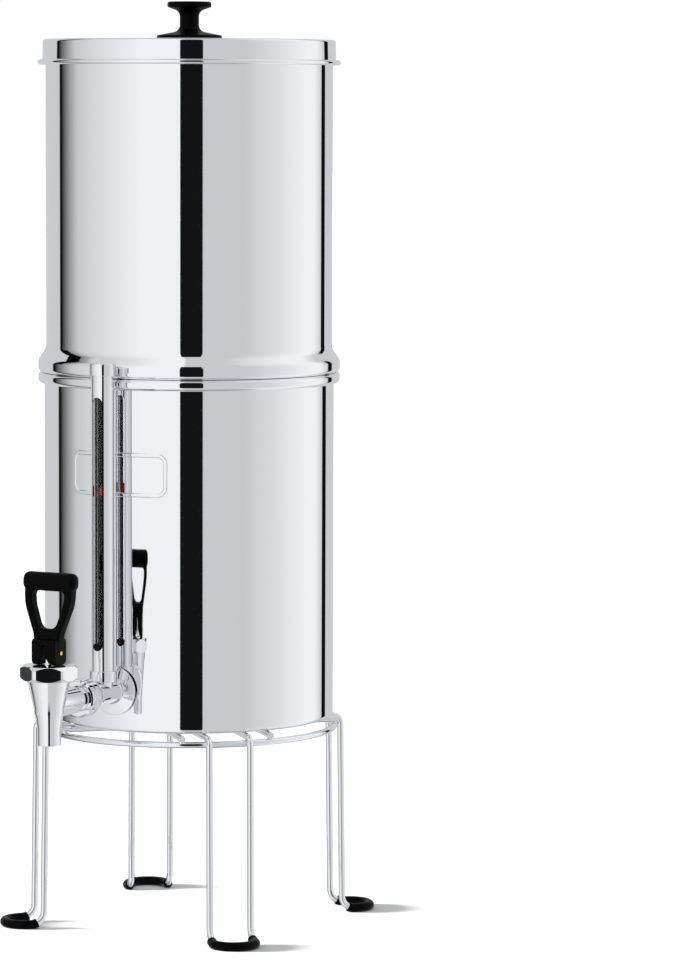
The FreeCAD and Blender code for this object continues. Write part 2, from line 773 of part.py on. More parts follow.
def bonnet_nut():
    """Chamfered hexagonal bonnet with a plug that closes the tap body and guides the stem."""
    nut = hexagon_bar(BONNET_AF, BONNET_H, NUT_CHAMFER, NUT_CORNER_R)
    plug = Part.makeCylinder(CHAMBER_R - RUN, BONNET_PLUG, point(0, 0, -BONNET_PLUG))
    guide = Part.makeCylinder(VALVE_STEM_R + RUN, BONNET_H + BONNET_PLUG, point(0, 0, -BONNET_PLUG))
    return at_tap(nut.fuse(plug).cut(guide).translated(point(0, 0, BONNET_Z)))


def valve_stem():
    """Round stem with a button at its foot and a flat tongue for the lever's pin."""
    foot = SEAT_Z + CUP_SOLE
    shoulder = BONNET_TOP_Z - TONGUE_SUNK
    outline = [
        (0, foot),
        (BUTTON_R, foot),
        (BUTTON_R, foot + BUTTON_H),
        (VALVE_STEM_R, foot + BUTTON_H),
        (VALVE_STEM_R, PIN_Z + TONGUE_UP),
        (0, PIN_Z + TONGUE_UP),
    ]
    stem = turned_profile(outline)
    for side in (-1, 1):
        middle = side * (TONGUE_W / 2 + VALVE_STEM_R)
        corner = point(middle - VALVE_STEM_R, -VALVE_STEM_R, shoulder)
        stem = stem.cut(Part.makeBox(2 * VALVE_STEM_R, 2 * VALVE_STEM_R, BLOCK_H, corner))
    hole = Part.makeCylinder(PIN_R + RUN, BLOCK_W, point(-BLOCK_W / 2, 0, PIN_Z), X_AXIS)
    return at_tap(stem.cut(hole))


def seat_cup():
    """Rubber cup on the stem's button that closes the valve seat."""
    socket = CUP_SOLE - RUN
    socket_top = CUP_SOLE + BUTTON_H + RUN
    outline = [
        (0, 0),
        (CUP_R, 0),
        (CUP_R, CUP_SOLE / 2),
        (CUP_R - 1.0, CUP_H),
        (VALVE_STEM_R + RUN, CUP_H),
        (VALVE_STEM_R + RUN, socket_top),
        (BUTTON_R + RUN, socket_top),
        (BUTTON_R + RUN, socket),
        (0, socket),
    ]
    return at_tap(turned_profile(outline).translated(point(0, 0, SEAT_Z)))


def lever_pin():
    """Brass pin through the lever's cheeks and the stem's tongue."""
    length = BLOCK_W + 2 * PIN_PROUD
    return at_tap(Part.makeCylinder(PIN_R, length, point(-length / 2, 0, PIN_Z), X_AXIS))


def lever_block():
    """Forked block at the lever's foot, its lower corners rounded into cams."""
    half = BLOCK_D / 2
    top = LEVER_FOOT_Z + BLOCK_H
    side = [
        point(-BLOCK_W / 2, -half, LEVER_FOOT_Z),
        point(-BLOCK_W / 2, half, LEVER_FOOT_Z),
        point(-BLOCK_W / 2, half, top),
        point(-BLOCK_W / 2, -half, top),
    ]
    return outline_face(side, [CAM_R, CAM_R, 3.0, 3.0]).extrude(point(BLOCK_W, 0, 0))


def lever_fork():
    """Narrow slot through the block from front to back, flaring wide at its foot."""
    half = TONGUE_W / 2 + FORK_CLEAR
    flare = LEVER_FOOT_Z + FLARE_UP
    top = PIN_Z + FORK_UP
    front = [
        point(-FORK_FOOT_W / 2, -BLOCK_D, LEVER_FOOT_Z),
        point(FORK_FOOT_W / 2, -BLOCK_D, LEVER_FOOT_Z),
        point(half, -BLOCK_D, flare),
        point(half, -BLOCK_D, top),
        point(-half, -BLOCK_D, top),
        point(-half, -BLOCK_D, flare),
    ]
    return outline_face(front, [0] * 6).extrude(point(0, 2 * BLOCK_D, 0))


def lever_loop():
    """Flat loop above the block, wide at the grip and drawn in at the neck."""
    top = LEVER_FOOT_Z + LEVER_H
    side = LEVER_FOOT_Z + ARM_SIDE_UP
    neck = LEVER_FOOT_Z + ARM_NECK_UP
    root = LEVER_FOOT_Z + BLOCK_H / 2
    front = [
        point(-ARM_TOP_W / 2, 0, top - GRIP_H / 2),
        point(-ARM_SIDE_W / 2, 0, side),
        point(-ARM_NECK_W / 2, 0, neck),
        point(-BLOCK_W / 2, 0, root),
        point(BLOCK_W / 2, 0, root),
        point(ARM_NECK_W / 2, 0, neck),
        point(ARM_SIDE_W / 2, 0, side),
        point(ARM_TOP_W / 2, 0, top - GRIP_H / 2),
    ]
    plate = outline_face(front, [0, 30.0, 5.0, 0, 0, 5.0, 30.0, 0])
    solid = plate.extrude(point(0, ARM_D, 0))
    return solid.translated(point(0, -ARM_D / 2, 0))


def lever_opening():
    """Finger opening of the loop, round at its foot."""
    top = LEVER_FOOT_Z + LEVER_H - GRIP_H
    foot = top - LOOP_H
    front = [
        point(-LOOP_TOP_W / 2, -GRIP_W, top),
        point(-LOOP_SIDE_W / 2, -GRIP_W, top - LOOP_SIDE_DOWN),
        point(-LOOP_FOOT_W / 2, -GRIP_W, foot),
        point(LOOP_FOOT_W / 2, -GRIP_W, foot),
        point(LOOP_SIDE_W / 2, -GRIP_W, top - LOOP_SIDE_DOWN),
        point(LOOP_TOP_W / 2, -GRIP_W, top),
    ]
    return outline_face(front, [3.0, 25.0, 6.5, 6.5, 25.0, 3.0]).extrude(point(0, 2 * GRIP_W, 0))


def lever_grip():
    """Cushioned bar along the top of the loop."""
    top = LEVER_FOOT_Z + LEVER_H
    bar = Part.makeBox(GRIP_W, GRIP_D, GRIP_H, point(-GRIP_W / 2, -GRIP_D / 2, top - GRIP_H))
    return bar.makeFillet(GRIP_ROUND, bar.Edges)


def tap_lever():
    """Forked lever with a finger loop, which lifts the stem when it is pulled forward."""
    loop = lever_loop().cut(lever_opening())
    loop = loop.makeFillet(1.6, [edge for edge in loop.Edges if edge_on_face(edge)])
    loop = loop.fuse(lever_grip()).removeSplitter()
    loop = loop.rotated(point(0, 0, LEVER_FOOT_Z + BLOCK_H), X_AXIS, -LEVER_LEAN_DEG)
    lever = loop.fuse(lever_block()).removeSplitter().cut(lever_fork())
    hole = Part.makeCylinder(PIN_R + RUN, 2 * BLOCK_W, point(-BLOCK_W, 0, PIN_Z), X_AXIS)
    return at_tap(lever.cut(hole))


def edge_on_face(edge):
    """Whether an edge lies in the front or the back face of the loop's plate."""
    depth = ARM_D / 2
    return all(abs(abs(vertex.Point.y) - depth) < 1e-6 for vertex in edge.Vertexes)


def all_nodes():
    """Every separate piece of the filter by its name."""
    nodes = stand()
    nodes["lower_chamber"] = lower_chamber()
    nodes["upper_chamber"] = upper_chamber()
    nodes["lid"] = lid()
    nodes["lid_knob"] = lid_knob()
    nodes["knob_screw"] = knob_screw()
    nodes["knob_washer"] = knob_washer()
    nodes.update(elements())
    nodes["wall_seal_outer"], nodes["wall_seal_inner"] = wall_seals()
    nodes["outlet_body"] = gauge_body()
    nodes["shank_nut"] = shank_nut()
    nodes["coupling_nut"] = coupling_nut()
    nodes["gauge_collar"] = gauge_collar()
    nodes["gauge_guard"] = gauge_guard()
    nodes["gauge_cap"] = gauge_cap()
    nodes["gauge_seal_lower"], nodes["gauge_seal_upper"] = gauge_seals()
    nodes["glass_tube"] = glass_tube()
    nodes["water_float"] = water_float()
    nodes["tap_body"] = tap_body()
    nodes["bonnet_nut"] = bonnet_nut()
    nodes["valve_stem"] = valve_stem()
    nodes["seat_cup"] = seat_cup()
    nodes["lever_pin"] = lever_pin()
    nodes["tap_lever"] = tap_lever()
    return nodes


def main():
    """Build every piece and write one file for each."""
    os.makedirs("parts", exist_ok=True)
    for name, shape in all_nodes().items():
        solids = shape.Solids
        solid = solids[0] if len(solids) == 1 else Part.makeCompound(solids)
        solid.exportStep("parts/" + name + ".step")
        print(name, "solids", len(solids), "volume", round(solid.Volume, 1), "valid", solid.isValid())


main()
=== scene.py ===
"""Looks of a gravity water filter: two polished steel chambers on a wire stand, with a lever tap.

Sizes of pieces are in millimetres and are turned into metres where a mesh is made. Z points up,
the origin is on the floor on the chambers' axis, and the tap points towards -Y.
"""
import logging
import math
from dataclasses import dataclass, field
from enum import Enum
from typing import Any, Sequence

import bmesh
import bpy
from mathutils import Matrix, Vector


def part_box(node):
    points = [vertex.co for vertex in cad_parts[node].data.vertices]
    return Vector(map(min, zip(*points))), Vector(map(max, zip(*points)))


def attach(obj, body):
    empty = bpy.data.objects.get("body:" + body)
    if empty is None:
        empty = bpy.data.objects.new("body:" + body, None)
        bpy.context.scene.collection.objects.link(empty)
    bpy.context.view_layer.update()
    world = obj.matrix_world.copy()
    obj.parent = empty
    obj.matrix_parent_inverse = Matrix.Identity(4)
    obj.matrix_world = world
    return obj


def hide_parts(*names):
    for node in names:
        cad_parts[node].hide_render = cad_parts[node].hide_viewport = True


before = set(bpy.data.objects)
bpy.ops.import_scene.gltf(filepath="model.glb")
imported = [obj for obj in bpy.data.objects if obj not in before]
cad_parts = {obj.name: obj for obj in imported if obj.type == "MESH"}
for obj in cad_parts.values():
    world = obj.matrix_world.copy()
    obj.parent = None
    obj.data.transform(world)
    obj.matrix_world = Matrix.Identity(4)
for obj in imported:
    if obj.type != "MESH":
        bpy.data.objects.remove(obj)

LOG = logging.getLogger("water_filter")
MM = 0.001
ARC_STEP_DEG = 7.5
# Points this close to the ends of a run keep its smooth shading straight.
BRACE = 0.25
BRACED_RUN = 1.2
# Points nearer than this, in metres, are one.
SAME_PLACE = 1e-6
# Steps in a full turn of the mirror-polished sheets.
SHEET_SIDES = 288

Pair = tuple[float, float]
Rows = list[list[Vector]]
Tree = bpy.types.NodeTree
Node = bpy.types.Node
Socket = bpy.types.NodeSocket
Thing = bpy.types.Object


def linear(colour: str) -> tuple[float, float, float, float]:
    """Turn an sRGB hex colour into linear light.

    Args:
        colour: the colour as #RRGGBB.

    Returns:
        Red, green, blue and an alpha of one.
    """
    shares = [int(colour[start:start + 2], 16) / 255 for start in (1, 3, 5)]
    lit = [share / 12.92 if share <= 0.04045 else ((share + 0.055) / 1.055) ** 2.4 for share in shares]
    return (lit[0], lit[1], lit[2], 1.0)


def add_node(
    tree: Tree,
    kind: str,
    values: dict[Any, Any] | None = None,
    links: dict[Any, Socket] | None = None,
    **settings: Any,
) -> Node:
    """Add one shader node with its settings, socket values and links.

    Args:
        tree: the node tree that gets the node.
        kind: the node's type name.
        values: values of input sockets, by name or number.
        links: output sockets that feed input sockets, by name or number.
        settings: the node's own properties.

    Returns:
        The new node.
    """
    node = tree.nodes.new(kind)
    for name, setting in settings.items():
        setattr(node, name, setting)
    for name, value in (values or {}).items():
        node.inputs[name].default_value = value
    for name, socket in (links or {}).items():
        tree.links.new(socket, node.inputs[name])
    return node


def node_box(node: str) -> tuple[Vector, Vector]:
    """Lowest and highest corner of a CAD node, in millimetres."""
    low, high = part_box(node)
    return low / MM, high / MM


class Body(Enum):
    """The rigid bodies that pieces ride on."""

    STAND = "stand"
    LOWER = "lower_chamber"
    FLOAT = "water_float"
    LEVER = "tap_lever"
    UPPER = "upper_chamber"
    LID = "lid"


class Slot(Enum):
    """The record's material slots."""

    SHEET = "polished_steel"
    WIRE = "wire_steel"
    TAP = "tap_metal"
    PLASTIC = "black_plastic"
    RUBBER = "black_rubber"
    CARBON = "carbon_block"
    GLASS = "gauge_glass"
    FLOAT = "red_float"


@dataclass(frozen=True)
class Surface:
    """A material in the making: its node tree, its shader and its coordinates in metres."""

    tree: Tree
    shader: Node
    place: Socket

    def noise(self, grain_mm: Sequence[float], detail: float = 3.0) -> Socket:
        """Noise whose grain has a real size along each axis.

        Args:
            grain_mm: the size of one grain along X, Y and Z.
            detail: how many finer layers the noise has.

        Returns:
            The noise's value, from nought to one.
        """
        scale = [1 / (grain * MM) for grain in grain_mm]
        mapping = add_node(self.tree, "ShaderNodeMapping", {"Scale": scale}, {"Vector": self.place})
        values = {"Scale": 1.0, "Detail": detail}
        noise = add_node(self.tree, "ShaderNodeTexNoise", values, {"Vector": mapping.outputs["Vector"]})
        return noise.outputs["Fac"]

    def vary(self, value: Socket, low: float, high: float) -> None:
        """Let a pattern vary the roughness.

        Args:
            value: the pattern, from nought to one.
            low: the roughness where the pattern is low.
            high: the roughness where it is high.
        """
        limits = {"From Min": 0.3, "From Max": 0.7, "To Min": low, "To Max": high}
        ranged = add_node(self.tree, "ShaderNodeMapRange", limits, {"Value": value})
        self.tree.links.new(ranged.outputs["Result"], self.shader.inputs["Roughness"])

    def shade(self, value: Socket, tones: Sequence[tuple[float, str]]) -> None:
        """Let a pattern vary the colour.

        Args:
            value: the pattern, from nought to one.
            tones: two values of the pattern, each with its colour.
        """
        ramp = add_node(self.tree, "ShaderNodeValToRGB", links={"Fac": value})
        for stop, (position, colour) in zip(ramp.color_ramp.elements, tones):
            stop.position = position
            stop.color = linear(colour)
        self.tree.links.new(ramp.outputs["Color"], self.shader.inputs["Base Color"])

    def raise_by(self, value: Socket, height_mm: float) -> None:
        """Let a pattern raise the surface.

        Args:
            value: the pattern, from nought to one.
            height_mm: how far it raises the surface.
        """
        depth = {"Strength": 1.0, "Distance": height_mm * MM}
        bump = add_node(self.tree, "ShaderNodeBump", depth, {"Height": value})
        self.tree.links.new(bump.outputs["Normal"], self.shader.inputs["Normal"])


@dataclass(frozen=True)
class Finish:
    """What every finish has: a name, a colour and the shader's main values."""

    name: str
    colour: str
    metallic: float = 0.0
    roughness: float = 0.5
    specular: float = 0.5

    def material(self) -> bpy.types.Material:
        """Make the material once and find it again later.

        Returns:
            The material of this finish.
        """
        found = bpy.data.materials.get(self.name)
        if found is not None:
            return found
        made = bpy.data.materials.new(self.name)
        made.use_nodes = True
        tree = made.node_tree
        tree.nodes.clear()
        shader = add_node(tree, "ShaderNodeBsdfPrincipled", {
            "Base Color": linear(self.colour),
            "Metallic": self.metallic,
            "Roughness": self.roughness,
        })
        if self.metallic == 0.0:
            shader.inputs["Specular IOR Level"].default_value = self.specular
        add_node(tree, "ShaderNodeOutputMaterial", links={"Surface": shader.outputs["BSDF"]})
        self.dress(Surface(tree, shader, add_node(tree, "ShaderNodeTexCoord").outputs["Object"]))
        return made

    def dress(self, surface: Surface) -> None:
        """Add the finish's own pattern; the plain finish has none."""


@dataclass(frozen=True)
class StreakedMetal(Finish):
    """Metal whose gloss changes in streaks or rings, as its tool left it.

    The grain is the size of one streak along X, Y and Z, and the haze is the roughness where
    the streaks are dullest.
    """

    metallic: float = 1.0
    grain_mm: tuple[float, float, float] = (1.0, 1.0, 1.0)
    haze: float = 0.1

    def dress(self, surface: Surface) -> None:
        """Vary the gloss in the streaks."""
        surface.vary(surface.noise(self.grain_mm), self.roughness, self.haze)


@dataclass(frozen=True)
class PolishedCasting(Finish):
    """Cast and turned stainless steel, polished by hand.

    The eye gets a bright mirror that is not quite even, as a wheel leaves it on a small part.
    """

    name: str = "cast_stainless_hand_polished"
    colour: str = "#F2F3F5"
    metallic: float = 1.0
    roughness: float = 0.03
    ripple_mm: float = 5.0
    ripple_height_mm: float = 0.004
    haze: float = 0.06

    def dress(self, surface: Surface) -> None:
        """Add soft ripples and a varying gloss.

        Args:
            surface: the material in the making.
        """
        ripple = surface.noise((self.ripple_mm,) * 3, 1.0)
        surface.raise_by(ripple, self.ripple_height_mm)
        surface.vary(ripple, self.roughness, self.haze)


@dataclass(frozen=True)
class MouldedPlastic(Finish):
    """Black ABS, injection moulded in a lightly polished mould.

    The eye gets a deep black with soft, slightly uneven highlights.
    """

    name: str = "moulded_black_abs"
    colour: str = "#010101"
    roughness: float = 0.4
    specular: float = 0.06
    skin_mm: float = 0.9
    skin_height_mm: float = 0.006

    def dress(self, surface: Surface) -> None:
        """Add the faint orange-peel skin of a moulding.

        Args:
            surface: the material in the making.
        """
        skin = surface.noise((self.skin_mm,) * 3)
        surface.raise_by(skin, self.skin_height_mm)
        surface.vary(skin, self.roughness - 0.05, self.roughness + 0.08)


@dataclass(frozen=True)
class PressedCarbon(Finish):
    """Coconut-shell carbon, pressed and sintered into a block.

    The eye gets a matt near-black with a fine grit that catches no light.
    """

    name: str = "pressed_carbon_block"
    colour: str = "#141415"
    roughness: float = 0.82
    specular: float = 0.2
    # Real grit is near 0.2 mm and is drawn coarser so that it shows.
    grit_mm: float = 0.7
    grit_height_mm: float = 0.12
    dark: str = "#0E0E0F"
    light: str = "#1E1E20"

    def dress(self, surface: Surface) -> None:
        """Add the grit.

        Args:
            surface: the material in the making.
        """
        grit = surface.noise((self.grit_mm,) * 3, 4.0)
        surface.raise_by(grit, self.grit_height_mm)
        surface.shade(grit, ((0.35, self.dark), (0.7, self.light)))


@dataclass(frozen=True)
class ClearGlass(Finish):
    """Borosilicate tube, drawn and clear.

    The eye gets a clear wall with bright rims and the float seen through it. The IOR and the
    gloss are lower than glass has, which keeps the float's image whole in so small a tube.
    """

    name: str = "clear_borosilicate_tube"
    colour: str = "#E8E8EA"
    roughness: float = 0.0
    specular: float = 0.3
    ior: float = 1.25
    tint: str = "#DCDCDE"
    streak_mm: tuple[float, float, float] = (1.5, 1.5, 60.0)

    def dress(self, surface: Surface) -> None:
        """Make it transmit, with faint drawn streaks in its tint.

        Args:
            surface: the material in the making.
        """
        surface.shader.inputs["Transmission Weight"].default_value = 1.0
        surface.shader.inputs["IOR"].default_value = self.ior
        surface.shade(surface.noise(self.streak_mm), ((0.0, self.tint), (1.0, self.colour)))


# 304 stainless sheet, spun and mirror polished on a turning buff: a near-perfect mirror whose
# gloss changes a little in fine level rings.
SHEET = StreakedMetal(
    "spun_304_sheet_mirror_polished", "#F3F4F6", roughness=0.02, grain_mm=(40.0, 40.0, 0.6), haze=0.035)
# Stainless wire, drawn through a die and electropolished: bright, with faint lines along it.
WIRE = StreakedMetal(
    "drawn_stainless_wire_polished", "#F0F1F3", roughness=0.05, grain_mm=(1.2, 1.2, 18.0), haze=0.11)
# Inside of a drawn steel tube, never polished, beside the bright outside: a near-black metal whose colour is
# painted shade, standing in for the shade deep inside the gauge's guard.
BORE_PAINTED_SHADE = StreakedMetal(
    "tube_bore_painted_near_black_shade", "#1B1B1E", roughness=0.18, grain_mm=(0.8, 0.8, 30.0), haze=0.36)
CASTING = PolishedCasting()
ABS = MouldedPlastic()
# Moulded polypropylene of the element caps and nuts: a waxier, softer black than ABS.
POLYPROPYLENE = MouldedPlastic("moulded_black_polypropylene", "#0A0A0B", 0.0, 0.38, 0.3, 0.6, 0.01)
# Foot sleeves are dipped in liquid vinyl: smooth and black with one soft highlight.
DIPPED_VINYL = MouldedPlastic("dipped_black_vinyl", "#010101", 0.0, 0.38, 0.06, 2.5, 0.03)
# Seals are moulded nitrile rubber: black and matt.
NITRILE = MouldedPlastic("moulded_nitrile_seal", "#060606", 0.0, 0.6, 0.2, 0.5, 0.01)
# The valve cup is moulded food-grade silicone: milky and soft in its gloss.
SILICONE = MouldedPlastic("moulded_food_silicone", "#D9D9D4", 0.0, 0.45, 0.4, 0.8, 0.005)
# The float is moulded red polypropylene: an even, strong red with a soft gloss.
RED_FLOAT = MouldedPlastic("moulded_red_polypropylene", "#C4121F", 0.0, 0.3, 0.3, 0.8, 0.003)
# The lever's pin is turned brass: a warm yellow with fine turning marks.
BRASS = PolishedCasting("turned_brass_bar", "#E3C878", 1.0, 0.16, 0.5, 0.6, 0.003, 0.26)
CLEAR = ClearGlass()


def rounded_corner(before: Vector, corner: Vector, after: Vector, radius: float) -> list[Vector]:
    """Points of the arc that rounds one corner of a path.

    Args:
        before: the point before the corner.
        corner: the corner.
        after: the point after it.
        radius: the arc's radius.

    Returns:
        Points from the arc's start to its end, or the corner where it can't be rounded.
    """
    back = (before - corner).normalized()
    ahead = (after - corner).normalized()
    opening = back.angle(ahead)
    if radius <= 0 or opening > math.pi - 1e-4:
        return [corner]
    reach = radius / math.tan(opening / 2)
    centre = corner + (back + ahead).normalized() * (radius / math.sin(opening / 2))
    start = corner + back * reach - centre
    turn = math.pi - opening
    across = (corner + ahead * reach - centre) - start * math.cos(turn)
    across = across.normalized() * radius
    steps = max(2, math.ceil(math.degrees(turn) / ARC_STEP_DEG))
    angles = [turn * step / steps for step in range(steps + 1)]
    return [centre + start * math.cos(angle) + across * math.sin(angle) for angle in angles]


def braced(line: Sequence[Vector], closed: bool) -> list[Vector]:
    """Add a point close to each end of every long run, so that smooth shading keeps the run straight.

    Args:
        line: the points of a path.
        closed: whether the path returns to its start.

    Returns:
        The points with those added.
    """
    points: list[Vector] = []
    for index, place in enumerate(line):
        points.append(place)
        following = line[(index + 1) % len(line)]
        length = (following - place).length
        if length > BRACED_RUN and (closed or index < len(line) - 1):
            points += [place.lerp(following, share) for share in (BRACE / length, 1 - BRACE / length)]
    return points


def rounded_path(corners: Sequence[Vector], radii: Sequence[float], closed: bool = False) -> list[Vector]:
    """Points of a path whose corners are rounded.

    Args:
        corners: the path's corners.
        radii: the radius at each corner, nought where it stays sharp.
        closed: whether the path returns to its start.

    Returns:
        The points along the path.
    """
    count = len(corners)
    points: list[Vector] = []
    for index, corner in enumerate(corners):
        if closed or 0 < index < count - 1:
            after = corners[(index + 1) % count]
            points += rounded_corner(corners[index - 1], corner, after, radii[index])
        else:
            points.append(corner)
    return braced(points, closed)


def outline(pairs: Sequence[Pair], radii: Sequence[float] | None = None, closed: bool = True) -> list[Vector]:
    """Rounded outline from pairs of radius and height, as points in the XZ plane."""
    corners = [Vector((radius, 0.0, height)) for radius, height in pairs]
    return rounded_path(corners, radii or [0.0] * len(pairs), closed)


def shifted(pairs: Sequence[Pair], radii: Sequence[float], shift: float) -> list[Vector]:
    """Rounded path moved sideways by shift, its corner radii following.

    Args:
        pairs: radius and height of the path's corners.
        radii: the corners' radii.
        shift: how far to the left of its direction the path moves.

    Returns:
        The points of the moved path.
    """
    corners = [Vector((radius, 0.0, height)) for radius, height in pairs]
    sides = []
    for start, end in zip(corners, corners[1:]):
        along = (end - start).normalized()
        sides.append(Vector((-along.z, 0.0, along.x)))
    moved = [corners[0] + sides[0] * shift]
    turned_radii = [0.0]
    for index in range(1, len(corners) - 1):
        before = sides[index - 1]
        after = sides[index]
        moved.append(corners[index] + (before + after) * (shift / (1 + before.dot(after))))
        turn = 1 if before.cross(after).y < 0 else -1
        turned_radii.append(radii[index] - turn * shift)
    moved.append(corners[-1] + sides[-1] * shift)
    turned_radii.append(0.0)
    return rounded_path(moved, turned_radii)


def sheet_outline(pairs: Sequence[Pair], radii: Sequence[float], thickness: float) -> list[Vector]:
    """Closed outline of a bent sheet, from the line along the middle of its thickness.

    Args:
        pairs: radius and height of the corners of the middle line.
        radii: the corners' radii.
        thickness: the sheet's thickness.

    Returns:
        The outline's points.
    """
    left = shifted(pairs, radii, thickness / 2)
    right = shifted(pairs, radii, -thickness / 2)
    return left + right[::-1]


def stepped(path: Sequence[Vector], step: float) -> list[Vector]:
    """Closed path with more points on its long runs.

    Args:
        path: the points of the path.
        step: about how far apart the points then are.

    Returns:
        The points with those added.
    """
    points: list[Vector] = []
    for index, place in enumerate(path):
        following = path[(index + 1) % len(path)]
        pieces = max(1, round((following - place).length / step))
        points += [place.lerp(following, share / pieces) for share in range(pieces)]
    return points


def around(radius: float, angle: float, height: float) -> Vector:
    """Point at a radius and a height, an angle round from +X."""
    return Vector((radius * math.cos(angle), radius * math.sin(angle), height))


def raised(height: float) -> Matrix:
    """Matrix that lifts by a height."""
    return Matrix.Translation((0.0, 0.0, height))


@dataclass
class Shape:
    """A mesh in the making: points in millimetres and faces as point numbers."""

    points: list[Vector] = field(default_factory=list)
    faces: list[tuple[int, ...]] = field(default_factory=list)
    inner: list[bool] = field(default_factory=list)

    def grid(
        self,
        rows: Rows,
        wrap_rows: bool = False,
        wrap_points: bool = True,
        inner: bool = False,
    ) -> "Shape":
        """Add a grid of four-sided faces through rows of points.

        Args:
            rows: rows with the same number of points each.
            wrap_rows: whether the last row joins the first.
            wrap_points: whether each row's last point joins its first.
            inner: whether the faces take the piece's second material.

        Returns:
            This shape.
        """
        start = len(self.points)
        width = len(rows[0])
        for row in rows:
            self.points += row
        for index in range(len(rows) if wrap_rows else len(rows) - 1):
            following = (index + 1) % len(rows)
            for place in range(width if wrap_points else width - 1):
                beside = (place + 1) % width
                self.faces.append((
                    start + index * width + place,
                    start + index * width + beside,
                    start + following * width + beside,
                    start + following * width + place,
                ))
                self.inner.append(inner)
        return self

    def cap(self, row: Sequence[Vector]) -> "Shape":
        """Close a ring of points with one flat face.

        Args:
            row: the ring's points.

        Returns:
            This shape.
        """
        start = len(self.points)
        self.points += row
        self.faces.append(tuple(range(start, start + len(row))))
        self.inner.append(False)
        return self

    def join(self, other: "Shape") -> "Shape":
        """Add another shape's points and faces.

        Args:
            other: the other shape.

        Returns:
            This shape.
        """
        start = len(self.points)
        self.points += other.points
        self.faces += [tuple(start + number for number in face) for face in other.faces]
        self.inner += other.inner
        return self

    def moved(self, matrix: Matrix) -> "Shape":
        """A copy of the shape, moved by a matrix."""
        return Shape([matrix @ place for place in self.points], list(self.faces), list(self.inner))

    def piece(self, name: str, sharp_deg: float = 32.0) -> Thing:
        """Turn the shape into an object of the scene.

        Args:
            name: the piece's name.
            sharp_deg: edges that turn more than this stay sharp.

        Returns:
            The object, in metres.
        """
        work = bmesh.new()
        made = [work.verts.new(place * MM) for place in self.points]
        for face, inner in zip(self.faces, self.inner):
            work.faces.new([made[number] for number in face]).material_index = int(inner)
        bmesh.ops.remove_doubles(work, verts=work.verts, dist=SAME_PLACE)
        bmesh.ops.dissolve_degenerate(work, edges=work.edges, dist=SAME_PLACE / 10)
        bmesh.ops.recalc_face_normals(work, faces=work.faces)
        mesh = bpy.data.meshes.new(name)
        work.to_mesh(mesh)
        work.free()
        return placed(name, mesh, sharp_deg)


def placed(name: str, mesh: bpy.types.Mesh, sharp_deg: float) -> Thing:
    """Put a mesh into the scene with smooth faces and sharp edges.

    Args:
        name: the object's name.
        mesh: its mesh.
        sharp_deg: edges that turn more than this stay sharp.

    Returns:
        The new object.
    """
    mesh.shade_smooth()
    mesh.set_sharp_from_angle(angle=math.radians(sharp_deg))
    thing = bpy.data.objects.new(name, mesh)
    bpy.context.scene.collection.objects.link(thing)
    return thing


def turned(line: Sequence[Vector], sides: int = 192) -> Shape:
    """Turn an outline in the XZ plane about the Z axis.

    Args:
        line: the closed outline.
        sides: how many steps a full turn has.

    Returns:
        The turned shape.
    """
    rows = []
    for step in range(sides):
        turn = Matrix.Rotation(math.tau * step / sides, 4, "Z")
        rows.append([turn @ place for place in line])
    return Shape().grid(rows, wrap_rows=True)


def path_frames(path: Sequence[Vector], closed: bool = False) -> list[tuple[Vector, Vector]]:
    """Two directions across a path at each of its points, carried along without twist.

    Args:
        path: the points of the path.
        closed: whether the path returns to its start.

    Returns:
        A pair of unit directions for each point.
    """
    count = len(path)
    frames = []
    across = None
    for index in range(count):
        if closed:
            along = path[(index + 1) % count] - path[index - 1]
        else:
            along = path[min(index + 1, count - 1)] - path[max(index - 1, 0)]
        along.normalize()
        if across is None:
            across = along.orthogonal()
        across = (across - along * across.dot(along)).normalized()
        frames.append((across.copy(), along.cross(across)))
    return frames


def swept(path: Sequence[Vector], radii: Sequence[float], sides: int = 28) -> Shape:
    """Round bar along a path, with its own radius at each point and closed ends.

    Args:
        path: the points of the path.
        radii: the radius at each point.
        sides: how many sides the bar has.

    Returns:
        The bar.
    """
    rows = []
    for centre, radius, (across, beside) in zip(path, radii, path_frames(path)):
        ring = []
        for step in range(sides):
            angle = math.tau * step / sides
            ring.append(centre + (across * math.cos(angle) + beside * math.sin(angle)) * radius)
        rows.append(ring)
    return Shape().grid(rows).cap(rows[0]).cap(rows[-1])


def eased_ends(path: Sequence[Vector], radius: float, easing: float) -> tuple[list[Vector], list[float]]:
    """Round the two ends of a bar by adding points whose radius falls off.

    Args:
        path: the points of the path.
        radius: the bar's radius.
        easing: the rounding at the ends.

    Returns:
        The path with its added points, and the radius at each.
    """
    first = (path[0] - path[1]).normalized()
    last = (path[-1] - path[-2]).normalized()
    angles = [math.radians(step) for step in (0, 30, 60, 90)]
    falls = [easing * (1 - math.cos(angle)) for angle in angles]
    backs = [easing * (1 - math.sin(angle)) for angle in angles]
    start = [path[0] - first * back for back in backs]
    end = [path[-1] - last * back for back in backs]
    inner = list(path[1:-1])
    points = start[::-1] + inner + end
    narrowed = [radius - fall for fall in falls]
    radii = narrowed[::-1] + [radius] * len(inner) + narrowed
    return points, radii


def outward_at(height: float) -> Matrix:
    """Matrix that lays the Z axis along the tap direction, at a height."""
    return Matrix.Translation((0.0, 0.0, height)) @ Matrix.Rotation(math.radians(90), 4, "X")


def finished(
    piece: Thing,
    body: Body,
    finishes: Sequence[Finish],
    nodes: Sequence[str] = (),
) -> Thing:
    """Dress a piece, let it ride on its body and hide the CAD nodes that it replaces.

    Args:
        piece: the piece.
        body: the body that it moves with.
        finishes: its materials in order.
        nodes: the CAD nodes that it replaces.

    Returns:
        The piece.
    """
    piece.data.materials.clear()
    for finish in finishes:
        piece.data.materials.append(finish.material())
    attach(piece, body.value)
    if nodes:
        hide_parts(*nodes)
    return piece


